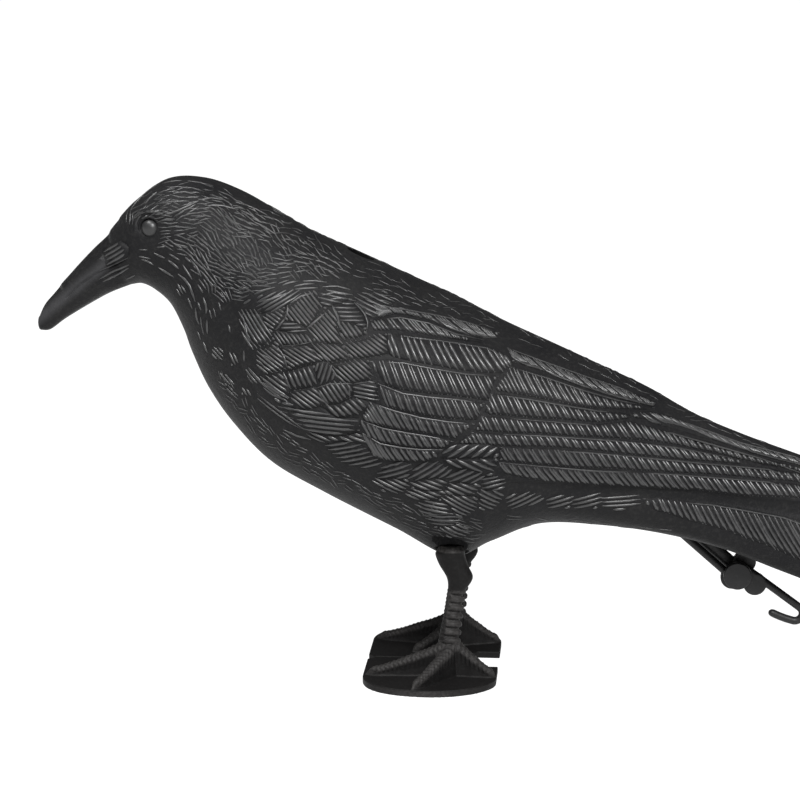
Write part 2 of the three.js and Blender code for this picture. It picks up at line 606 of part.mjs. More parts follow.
const leftLeg = leg();
const lowerJaw = eyeDisc(lowerEnd).add(rod(lowerStart, lowerEnd));
const upperJaw = eyeDisc(upperEye).add(upperRod(upperStart, upperEnd, 0));
const pivot = disc(PIVOT_DIAMETER, DISC_THICKNESS, ...pivotSpot.toArray());
const crow = new THREE.Group();
crow.add(piece("body", body(), PLASTIC));
crow.add(piece("left_leg", leftLeg, LEG_PLASTIC));
crow.add(piece("right_leg", mirrored(leftLeg), LEG_PLASTIC));
crow.add(piece("clip_lower_jaw", lowerJaw, CLIP_PLASTIC));
crow.add(piece("clip_upper_jaw", upperJaw, CLIP_PLASTIC));
crow.add(piece("clip_pivot", pivot, CLIP_PLASTIC));
crow.add(piece("clip_hook", clipHook(), CLIP_PLASTIC));

// The frame: the origin is under the middle of the whole box.
const box = new THREE.Box3().setFromObject(crow);
crow.position.set(-(box.min.x + box.max.x) / 2, -(box.min.y + box.max.y) / 2, -box.min.z);

export default crow;
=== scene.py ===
"""A moulded plastic crow decoy on two legs with foot plates, with a hanging clip under its tail."""

import math

import bmesh
import bpy
import numpy as np
from mathutils import Matrix, Vector


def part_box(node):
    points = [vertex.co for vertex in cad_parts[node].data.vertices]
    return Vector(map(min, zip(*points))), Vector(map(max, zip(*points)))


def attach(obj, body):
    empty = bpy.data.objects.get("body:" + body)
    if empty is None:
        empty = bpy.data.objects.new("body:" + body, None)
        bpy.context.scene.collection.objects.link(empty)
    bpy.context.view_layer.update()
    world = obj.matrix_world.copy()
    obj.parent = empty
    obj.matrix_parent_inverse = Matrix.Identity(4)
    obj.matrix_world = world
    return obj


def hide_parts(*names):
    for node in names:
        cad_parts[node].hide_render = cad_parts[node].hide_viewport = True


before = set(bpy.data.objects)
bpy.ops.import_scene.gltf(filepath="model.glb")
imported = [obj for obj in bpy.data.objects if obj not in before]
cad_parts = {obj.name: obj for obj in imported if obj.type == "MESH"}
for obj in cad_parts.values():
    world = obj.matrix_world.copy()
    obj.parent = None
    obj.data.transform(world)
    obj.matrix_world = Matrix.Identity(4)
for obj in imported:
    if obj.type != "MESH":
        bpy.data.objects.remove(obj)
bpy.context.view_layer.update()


# The studio: a pale floor, a white room and soft boxes over the bird.
# The camera stands a little to the bird's tail side and looks down on it by 12 degrees.
CAMERA_PLACE = (0.05566, -1.12470, 0.35925)
CAMERA_AIM = (-0.03260, -0.00330, 0.12015)
CAMERA_LENS = 119.5
BIRD_MIDDLE = (0, 0, 0.12)


class Reading:
    """A node's output that takes part in sums; each operator adds its Math node."""

    def __init__(self, graph, socket):
        self.graph, self.socket = graph, socket

    def math(self, operation, first, second):
        return self.graph.node("ShaderNodeMath", {"operation": operation}, {0: first, 1: second})

    def __add__(self, other):
        return self.math("ADD", self, other)

    def __sub__(self, other):
        return self.math("SUBTRACT", self, other)

    def __rsub__(self, other):
        return self.math("SUBTRACT", other, self)

    def __mul__(self, other):
        return self.math("MULTIPLY", self, other)

    __radd__ = __add__
    __rmul__ = __mul__


class Graph:
    """A node tree of a material or of Geometry Nodes."""

    def __init__(self, tree):
        self.tree = tree

    def node(self, kind, settings=None, sockets=None, output=0):
        made = self.tree.nodes.new(kind)
        for name, value in (settings or {}).items():
            if name == "stops":
                ramp = made.color_ramp.elements
                while len(ramp) < len(value):
                    ramp.new(0.5)
                for stop, (place, level) in zip(ramp, value):
                    stop.position, stop.color = place, (level, level, level, 1)
            else:
                setattr(made, name, value)
        for name, value in (sockets or {}).items():
            if isinstance(value, Reading):
                self.tree.links.new(value.socket, made.inputs[name])
            else:
                made.inputs[name].default_value = value
        return Reading(self, made.outputs[output]) if len(made.outputs) else None


def placed(name, data, spot=(0, 0, 0), aim=None):
    """A linked object for some data, looking at an aim if it has one."""
    holder = bpy.data.objects.new(name, data)
    bpy.context.scene.collection.objects.link(holder)
    holder.location = spot
    if aim:
        holder.rotation_euler = (Vector(aim) - Vector(spot)).to_track_quat("-Z", "Y").to_euler()
    return holder


camera_data = bpy.data.cameras.new("camera")
camera_data.lens, camera_data.sensor_width, camera_data.clip_end = CAMERA_LENS, 36, 100
bpy.context.scene.camera = placed("camera", camera_data, CAMERA_PLACE, CAMERA_AIM)
bpy.context.scene.view_settings.view_transform = "Standard"

world = bpy.data.worlds.new("white_room")
bpy.context.scene.world = world
world.use_nodes = True
world.node_tree.nodes["Background"].inputs["Color"].default_value = (1, 1, 1, 1)
world.node_tree.nodes["Background"].inputs["Strength"].default_value = 0.1

for name, spot, size, power in (
    ("key_box", (0.30, -1.05, 1.05), (0.5, 0.4), 32),
    ("top_box", (-0.5, -0.3, 1.2), (0.4, 0.3), 12),
):
    light = bpy.data.lights.new(name, "AREA")
    light.shape, light.energy = "RECTANGLE", power
    light.size, light.size_y = size
    placed(name, light, spot, BIRD_MIDDLE)

floor_mesh = bpy.data.meshes.new("floor")
floor_mesh.from_pydata([(-30, -30, 0), (30, -30, 0), (30, 30, 0), (-30, 30, 0)], [], [(0, 1, 2, 3)])
floor = placed("floor", floor_mesh)
floor_paint = bpy.data.materials.new("floor_paint")
floor_paint.use_nodes = True
floor_shader = floor_paint.node_tree.nodes["Principled BSDF"]
for socket, value in (("Base Color", (0.16, 0.16, 0.16, 1)), ("Roughness", 0.9), ("Specular IOR Level", 0.1),
                      ("Emission Color", (1, 1, 1, 1)), ("Emission Strength", 1.0)):
    floor_shader.inputs[socket].default_value = value
floor_mesh.materials.append(floor_paint)


# The body: one blow-moulded hollow shell in black plastic, its two halves joined on the middle line.
# Its cross-sections lean with the neck, and its spots are in hundredths of its length from the leg
# axis at belly height, x towards the tail and z up, as seen from its left side.
MM = 0.001
SHARE = 0.0038
BELLY = 0.051
LEG_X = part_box("left_leg")[1].x - 0.019
HALF_WIDTH = 0.051
WING_RISE = 0.0016
SIDES = 200
EYE = (-34.2, 38.2)
EYE_YAW = 14
# The clip's rods and discs in mm, and the gap left round them and the tenons.
ROD, UPPER_DEPTH, DISC, DISC_THICK, GAP = 3.5, 6.0, 10.0, 3.4, 0.3
MOUTH = [(-36.9, 34.7), (-39.3, 33.4), (-41.2, 32.4), (-43.3, 30.9), (-45.0, 29.2)]
STATIONS = np.array([
    # top x, top z, bottom x, bottom z, half width, widest depth, squareness above and below it
    [-48, 27.2, -47.9, 25.6, 0.5, 0.5, 2, 2],
    [-47.3, 28.6, -46.8, 25.7, 0.9, 0.55, 1.8, 2],
    [-46, 30.1, -45, 27, 1.2, 0.55, 1.7, 2],
    [-43.6, 32.9, -42.4, 28.6, 1.7, 0.55, 1.7, 2],
    [-41.5, 35.1, -39.9, 30, 2.15, 0.55, 1.7, 2],
    [-39.9, 36.6, -37.7, 30.9, 2.6, 0.55, 1.7, 2],
    [-39.5, 37.3, -37, 31.1, 3.3, 0.52, 1.9, 2],
    [-38.4, 38.6, -35.8, 31.2, 4.1, 0.5, 2, 2],
    [-36.5, 40.7, -34.3, 30.5, 5, 0.48, 2.1, 2],
    [-32.8, 43.2, -32.5, 28.8, 5.9, 0.47, 2.1, 2],
    [-28.7, 43.3, -31.1, 25.9, 6.7, 0.46, 2.1, 2],
    [-24.6, 41.9, -30.2, 23.3, 7.8, 0.45, 2, 2],
    [-20.5, 39.6, -28.3, 19.3, 9.3, 0.44, 2, 2.1],
    [-16.5, 37.3, -25.4, 15.2, 11, 0.44, 2, 2.1],
    [-11.1, 34.9, -21.1, 10.9, 12.5, 0.44, 2, 2.1],
    [-5.6, 32.4, -15.1, 7.5, 13.3, 0.44, 2, 2.1],
    [-0.2, 30, -6.9, 3.4, 13.42, 0.45, 2, 2.1],
    [5.2, 27.3, -0.5, 0.2, 12.9, 0.46, 1.95, 2.1],
    [10.7, 24.9, 4.1, 2.2, 11.8, 0.5, 1.85, 2.2],
    [16.1, 22.5, 9.6, 4.5, 10.5, 0.54, 1.75, 2.4],
    [21.6, 20, 16.4, 4.6, 9.1, 0.6, 1.7, 2.8],
    [27, 17, 23.3, 3.9, 7.8, 0.66, 1.65, 3.4],
    [32.5, 14.7, 30.1, 2.3, 6.6, 0.7, 1.6, 4.2],
    [38.7, 12.5, 37, -0.3, 5.7, 0.74, 1.6, 5],
    [44.7, 10.4, 43.4, -2.8, 5, 0.76, 1.6, 5],
    [47.2, 7.2, 46.8, -4.1, 4.8, 0.76, 1.6, 5],
    [50.5, 2.6, 50, -5.1, 4.4, 0.7, 1.8, 4],
    [52.2, -1.4, 51.9, -5.1, 3.4, 0.6, 2, 3],
])
WING_TOP = np.array([
    (-25.1, 28.2), (-21.2, 30.4), (-14.4, 32.1), (-6.9, 30), (-0.6, 28.8), (5, 26.7), (10.7, 23.7),
    (16.4, 21.5), (22.4, 18.5), (27.9, 15.7), (32.5, 13.5), (38.8, 11.6), (44.4, 9.9),
])
WING_FOOT = np.array([
    (-24.5, 25.3), (-21.3, 19.9), (-15.6, 15.8), (-8.4, 13.8), (-1.2, 13.5), (5.4, 11.5), (12, 11.2),
    (18.6, 10.6), (25.2, 9.8), (31.3, 8.7), (36.4, 8), (40.9, 7.1), (44.9, 5.8),
])


def curve_through(rows, places):
    """Catmull-Rom through rows of numbers, at places counted in rows."""
    row = np.minimum(places.astype(int), len(rows) - 2)
    u = (places - row)[:, None]
    a, b, c, d = (rows[np.clip(row + step, 0, len(rows) - 1)] for step in (-1, 0, 1, 2))
    return b + 0.5 * u * (c - a + u * (2 * a - 5 * b + 4 * c - d + u * (3 * (b - c) + d - a)))


def skin_rings(places):
    """Rings of evenly spaced points, each from its top over the left side and round, in metres."""
    top_x, top_z, bottom_x, bottom_z, half, widest, above, below = (
        curve_through(STATIONS, places).T[:, :, None])
    turn = np.linspace(0, 2 * math.pi, 1201)[None, :]
    lean, side = np.cos(turn), np.sin(turn)
    power = np.where(lean > 0, above, below)
    reach = np.abs(lean) ** (2 / power)
    depth = np.where(lean > 0, widest * (1 - reach), widest + (1 - widest) * reach)
    x = (top_x + (bottom_x - top_x) * depth) * SHARE + LEG_X
    z = (top_z + (bottom_z - top_z) * depth) * SHARE + BELLY
    y = -half * (HALF_WIDTH / STATIONS[:, 4].max()) * np.sign(side) * np.abs(side) ** (2 / power)
    rings = []
    for ring in np.stack([x, y, z], axis=-1):
        walked = np.append(0, np.cumsum(np.linalg.norm(np.diff(ring, axis=0), axis=1)))
        stops = np.arange(SIDES) / SIDES * walked[-1]
        rings.append(np.stack([np.interp(stops, walked, ring[:, axis]) for axis in range(3)], axis=-1))
    return np.array(rings)


def turns(count):
    return np.arange(count) * 2 * math.pi / count


def smooth(value):
    value = np.clip(value, 0, 1)
    return value * value * (3 - 2 * value)


def away(x, z, line):
    """Distance, in hundredths, from each spot to a line through points, and the share walked along it."""
    near, place, walked = np.full(x.shape, 1e9), np.zeros(x.shape), 0.0
    line = np.array(line, float)
    total = np.linalg.norm(np.diff(line, axis=0), axis=1).sum()
    for start, end in zip(line[:-1], line[1:]):
        step = end - start
        length = np.hypot(*step)
        share = np.clip(((x - start[0]) * step[0] + (z - start[1]) * step[1]) / length**2, 0, 1)
        gap = np.hypot(x - start[0] - share * step[0], z - start[1] - share * step[1])
        closer = gap < near
        near, place = np.where(closer, gap, near), np.where(closer, (walked + share * length) / total, place)
        walked += length
    return near, place


def skin_relief(x, z):
    """How far the moulded forms stand out of the plain body, in metres."""
    under_top = np.interp(x, WING_TOP[:, 0], WING_TOP[:, 1]) - z
    over_foot = z - np.interp(x, WING_FOOT[:, 0], WING_FOOT[:, 1])
    edge = np.interp(x, (-5, 8), (2.0, 0.45))
    wing = smooth(under_top / 3.2) * smooth(over_foot / edge)
    wing = wing * smooth((x - WING_TOP[0, 0]) / 3.5) * smooth((45.5 - x) / 3)
    rise = WING_RISE * wing
    # Under the wing's rear edge a groove, ahead of the shoulder a hollow, over the eye a brow, and the
    # folds of mouth and beak: each line's width in hundredths and height in metres.
    for line, width, height in (
        ([(9.6, 10.2), (20.0, 9.8), (31.0, 8.1), (38.8, 6.6), (45.0, 4.6)], 1.0, -0.0011),
        ([(-25.6, 30.9), (-24.3, 29.0)], 2.6, -0.0016),
        ([(-33.1, 39.6), (-30.9, 40.6), (-27.6, 42.0)], 0.9, 0.0006),
        ([(-38.6, 38.3), (-36.4, 39.7), (-34.3, 40.3)], 0.8, 0.0005),
        (MOUTH, 0.24, -0.0009),
        ([(-39.6, 34.5), (-42.4, 32.8), (-45.4, 30.2)], 0.6, 0.0014),
        ([(-38.6, 32.4), (-40.4, 31.5), (-42.6, 30.2)], 0.3, 0.0004),
    ):
        gap, place = away(x, z, line)
        fade = smooth(place / 0.12) * smooth((1 - place) / 0.12) if len(line) > 2 else 1.0
        rise = rise + height * fade * np.exp(-((gap / width) ** 2) * 2)
    gap = np.hypot(x - EYE[0], z - EYE[1])
    facing = np.cos(np.arctan2(z - EYE[1], x - EYE[0]) - 2.3)
    rim = smooth((facing + 0.2) / 0.8) * np.exp(-(((gap - 1.75) / 0.36) ** 2))
    return rise + 0.0012 * rim - 0.001 * np.exp(-((gap / 1.5) ** 2) * 1.5)


def mesh_piece(name, vertices, faces):
    data = bpy.data.meshes.new(name)
    data.from_pydata(np.asarray(vertices, float).tolist(), [], faces)
    data.validate()
    data.shade_smooth()
    return placed(name, data)


def loft_faces(count, width, start=0):
    """Faces over rings of equal counts, with a fan at each end, for points that follow from a start."""
    faces = []
    for low in range(start, start + (count - 1) * width, width):
        high = low + width
        faces += [(low + k, low + (k + 1) % width, high + (k + 1) % width, high + k) for k in range(width)]
    last, tips = start + (count - 1) * width, start + count * width
    faces += [(tips, start + (k + 1) % width, start + k) for k in range(width)]
    return faces + [(tips + 1, last + k, last + (k + 1) % width) for k in range(width)]


def capped(rings):
    """The points of rings, and the middle of the first and the last one."""
    return np.vstack([rings.reshape(-1, 3), rings[0].mean(0), rings[-1].mean(0)])


def closed_loft(rings, name):
    rings = np.asarray(rings, float)
    return mesh_piece(name, capped(rings), loft_faces(*rings.shape[:2]))


def settle(piece):
    """Applies a piece's modifiers, so that what is left is a plain mesh."""
    bpy.context.view_layer.update()
    graph = bpy.context.evaluated_depsgraph_get()
    data = bpy.data.meshes.new_from_object(piece.evaluated_get(graph), depsgraph=graph)
    piece.modifiers.clear()
    old = piece.data
    piece.data = data
    bpy.data.meshes.remove(old)
    return piece


def out_facing(piece):
    """Merges doubles and turns all faces outwards."""
    work = bmesh.new()
    work.from_mesh(piece.data)
    bmesh.ops.remove_doubles(work, verts=work.verts, dist=1e-6)
    bmesh.ops.recalc_face_normals(work, faces=work.faces)
    work.to_mesh(piece.data)
    work.free()
    return piece


def joined(name, pieces):
    with bpy.context.temp_override(active_object=pieces[0], selected_editable_objects=pieces):
        bpy.ops.object.join()
    pieces[0].name = pieces[0].data.name = name
    return pieces[0]


def cut(piece, tool):
    cutting = piece.modifiers.new("cut", "BOOLEAN")
    cutting.operation, cutting.solver, cutting.object = "DIFFERENCE", "MANIFOLD", tool
    settle(piece)
    bpy.data.objects.remove(tool)


def oval_stack(name, middle, rows, tilt=0.0):
    """A form over oval rings of length, width and level, leaning back by tilt degrees."""
    around = turns(64)
    rings = [
        np.stack([length / 2 * np.cos(around), width / 2 * np.sin(around), np.full(64, level)], axis=-1)
        for length, width, level in rows
    ]
    form = closed_loft(rings, name)
    form.data.transform(Matrix.Translation(middle) @ Matrix.Rotation(math.radians(tilt), 4, "Y"))
    return out_facing(form)


def oval_post(name, middle, length, width, height):
    """An upright oval post."""
    return oval_stack(name, middle, [(length, width, -height / 2), (length, width, height / 2)])


def spot_at(x, z, y=0.0):
    return Vector((x * SHARE + LEG_X, y, z * SHARE + BELLY))


def down_at(slope):
    return np.array([math.cos(math.radians(slope)), 0, -math.sin(math.radians(slope))])


def up_from(slope):
    return np.array([math.sin(math.radians(slope)), 0, math.cos(math.radians(slope))])


def rod(points, depth=ROD, width=ROD, aside=(0, 0, 0), tip=(1,)):
    """An oval bar through points in the bird's middle plane, moved aside, in millimetres. The shares
    of its size at its last points round its tip."""
    points = np.array(points, float)
    along_it = np.gradient(points, axis=0)
    along_it /= np.linalg.norm(along_it, axis=1, keepdims=True)
    across = np.cross(along_it, (0, 1, 0))
    angle = turns(20)[None, :, None]
    rings = depth / 2 * np.cos(angle) * across[:, None] + width / 2 * np.sin(angle) * np.array([0, 1, 0])
    rings[-len(tip):] *= np.array(tip)[:, None, None]
    rings = rings + points[:, None] + np.array(aside)
    return out_facing(closed_loft(rings * MM, "rod"))


def disc(middle, diameter=DISC, thickness=DISC_THICK):
    edge, angle = 0.35, turns(56)
    level = thickness / 2
    rings = []
    for inset, height in ((edge, -level), (0, edge - level), (0, level - edge), (edge, level)):
        radius = diameter / 2 - inset
        ring = np.stack([radius * np.cos(angle), np.full(56, height), radius * np.sin(angle)], axis=-1)
        rings.append(middle + ring)
    return out_facing(closed_loft(np.array(rings) * MM, "disc"))


def shrunk(ring, size, shift):
    return ring.mean(0) + (ring - ring.mean(0)) * size + shift


# The rings stand closer on beak and head. A seam runs along the ridge and the keel.
RING_SPACING, SEAM = 0.0015, 0.00012
fine = np.linspace(0, len(STATIONS) - 1, 2000)
sampled = curve_through(STATIONS, fine)
steps = np.hypot(*np.diff((sampled[:, :2] + sampled[:, 2:4]) / 2, axis=0).T) * SHARE
steps *= np.interp(fine[1:], (0, 10, 13), (2.2, 1.6, 1.0))
walk = np.append(0, np.cumsum(steps))
grid = skin_rings(np.interp(np.linspace(0, walk[-1], round(walk[-1] / RING_SPACING)), walk, fine))
around = np.roll(grid, -1, axis=1) - np.roll(grid, 1, axis=1)
normals = np.cross(np.gradient(grid, axis=0), around)
normals /= np.maximum(np.linalg.norm(normals, axis=2, keepdims=True), 1e-12)
outward = np.sign((normals * (grid - grid.mean(1, keepdims=True))).sum())
rise = skin_relief((grid[..., 0] - LEG_X) / SHARE, (grid[..., 2] - BELLY) / SHARE)
rise[:, (0, SIDES // 2)] += SEAM
grid = grid + outward * normals * rise[..., None]
tip_rings = [shrunk(grid[0], 0.45, (-0.0009, 0, -0.00036)), shrunk(grid[0], 0.8, (-0.0006, 0, -0.00024))]
end_rings = [shrunk(grid[-1], 0.93, (0.0004, 0, -0.00012)), shrunk(grid[-1], 0.8, (0.0006, 0, -0.00018))]
body = out_facing(closed_loft(np.concatenate([tip_rings, grid, end_rings]), "crow_body"))

# The hole in the back has a thin lip, and widens under it into the dark of the shell.
HOLE_LENGTH, HOLE_WIDTH, HOLE_DEPTH, HOLE_TILT = 0.013, 0.009, 0.016, 23
hole_rows = [(HOLE_LENGTH + more, HOLE_WIDTH + more, level) for more, level in (
    (0.0085, -HOLE_DEPTH), (0.0085, -0.0042), (0.0, -0.0013), (0.0, 0.004))]
cut(body, oval_stack("back_hole", spot_at(-10.9, 35.1), hole_rows, HOLE_TILT))
# Room in the belly for each thigh, a recess over it and the bore of its tenon: place from the leg
# axis, then length, width and height.
LEG_ASIDE, TENON_IN = 0.022, 0.002
for side in (-1, 1):
    for name, (x, y, z), size in (
        ("leg_mouth", (-0.0008, LEG_ASIDE, 0.0308), (0.0146, 0.013, 0.0616)),
        ("leg_recess", (-0.0008, 0.0299, 0.03375), (0.0146, 0.0114, 0.0675)),
        ("tenon_bore", (0, LEG_ASIDE - TENON_IN, 0.0665), (0.0086, 0.0056, 0.0176)),
    ):
        cut(body, oval_post(name, (LEG_X + x, side * y, z), *size))
# Sockets of the clip's two jaws under the tail root, and room for the eye of the upper one.
JAW_SLOPE, JAW_SPREAD, JAW_REACH, SOCKET_DEPTH, UPPER_EYE_RISE = 41, 3.9, 28, 12, 4.4
slope_down, slope_up = down_at(JAW_SLOPE), up_from(JAW_SLOPE)
layer = np.array([0, DISC_THICK + GAP, 0])
clip_root = np.array([*spot_at(26.1, 2.7)]) / MM
lower_start, lower_end = clip_root - SOCKET_DEPTH * slope_down, clip_root + JAW_REACH * slope_down
upper_start, upper_end = (spot + JAW_SPREAD * slope_up for spot in (lower_start, lower_end))
upper_eye = upper_end + UPPER_EYE_RISE * slope_up + layer
cut(body, rod([lower_start - GAP * slope_down, lower_end], ROD + 2 * GAP, ROD + 2 * GAP))
cut(body, rod([upper_start - GAP * slope_down, upper_end], UPPER_DEPTH + 2 * GAP, ROD + 2 * GAP, layer))
cut(body, disc(upper_eye, DISC + 2 * GAP, DISC_THICK + 2 * GAP))


def plastic(name, shade, gloss, grain, dust_and_painted_light_colour, shine=0.3, rubbed=0.0):
    """Moulded plastic: a shade with faint clouds and dusty specks, a matt gloss and a fine grain. The beak is
    glossier, with a painted highlight, a pale stripe down its upper half, and painted light marks are paler."""
    made = bpy.data.materials.new(name)
    made.use_nodes = True
    graph = Graph(made.node_tree)
    shader = made.node_tree.nodes["Principled BSDF"]
    shader.inputs["Specular IOR Level"].default_value = shine
    place = graph.node("ShaderNodeTexCoord", output=3)
    noise = lambda scale, detail: graph.node(
        "ShaderNodeTexNoise", {"noise_dimensions": "3D"},
        {"Vector": place, "Scale": scale, "Detail": detail, "Roughness": 0.6})
    ramp = lambda low, high, level: graph.node(
        "ShaderNodeValToRGB", {"stops": [(low, 0), (high, 1)]}, {"Fac": level})
    mixed = lambda share, first, second: graph.node(
        "ShaderNodeMix", {"data_type": "RGBA"}, {"Factor": share, 6: first, 7: second}, output=2)
    clouds = ramp(0.35, 0.7, noise(24.0, 4.0))
    dust_and_painted_light_share = clouds * 0.4 + ramp(0.5, 0.68, noise(640.0, 2.0)) * 0.5
    # Painted light on the legs: their painted light marks, with a speckle, mix the shade towards the pale
    # colour.
    if rubbed:
        mark = graph.node("ShaderNodeAttribute", {"attribute_name": "rubbed"}, output=2)
        dust_and_painted_light_share = dust_and_painted_light_share * 0.12 + mark * (noise(700.0, 3.0) * 1.6 - 0.3) * rubbed
    x = graph.node("ShaderNodeSeparateXYZ", {}, {"Vector": place})
    z = Reading(graph, x.socket.node.outputs["Z"])
    beak = graph.node("ShaderNodeMapRange", {}, {
        "Value": x, 1: LEG_X - 0.148, 2: LEG_X - 0.153, 3: 0.0, 4: 1.0})
    # A painted highlight down the beak's upper mandible: a pale stripe along a line from the beak's root,
    # standing in for a lamp's reflection.
    beak_root = spot_at(-38.8, 34.5)
    aside = (x - beak_root.x) * 0.63 - (z - beak_root.z) * 0.777
    painted_light_band = graph.node("ShaderNodeMapRange", {"interpolation_type": "SMOOTHSTEP"}, {
        "Value": aside.math("ABSOLUTE", aside, 0.0), 1: 0.0, 2: 0.0042, 3: 0.8, 4: 0.0})
    colour = mixed(dust_and_painted_light_share, (*shade, 1), (*dust_and_painted_light_colour, 1))
    colour = mixed(painted_light_band * beak * (noise(200.0, 3.0) + 0.3), colour, (0.042, 0.042, 0.044, 1))
    rough = clouds * 0.08 + noise(900.0, 2.0) * 0.12 + (gloss - 0.1) - beak * 0.16
    height = noise(1400.0, 3.0) * 0.6 + noise(260.0, 3.0)
    bump = graph.node("ShaderNodeBump", {}, {"Strength": grain, "Distance": 0.0004, "Height": height})
    for reading, name in ((colour, "Base Color"), (rough, "Roughness"), (bump, "Normal")):
        made.node_tree.links.new(reading.socket, shader.inputs[name])
    return made


body_plastic = plastic("body_plastic", (0.0066, 0.0066, 0.0072), 0.56, 0.9, (0.017, 0.0167, 0.0165), 0.11)


def finished(piece, material, slot, *nodes):
    """Gives a piece its one material, and puts it in the frame in place of CAD nodes."""
    piece.data.materials.clear()
    piece.data.materials.append(material)
    piece.data.polygons.foreach_set("material_index", np.zeros(len(piece.data.polygons), np.int32))
    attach(piece, "root")
    if nodes:
        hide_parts(*nodes)


# The plumage: relief moulded into both halves of the body. Vanes and small leaf feathers lie on the
# skin like shingles, each with its barbs, and short engraved strokes cover the head, neck and flanks.
# All of it is drawn once as seen from the left, in hundredths, and laid on either side.

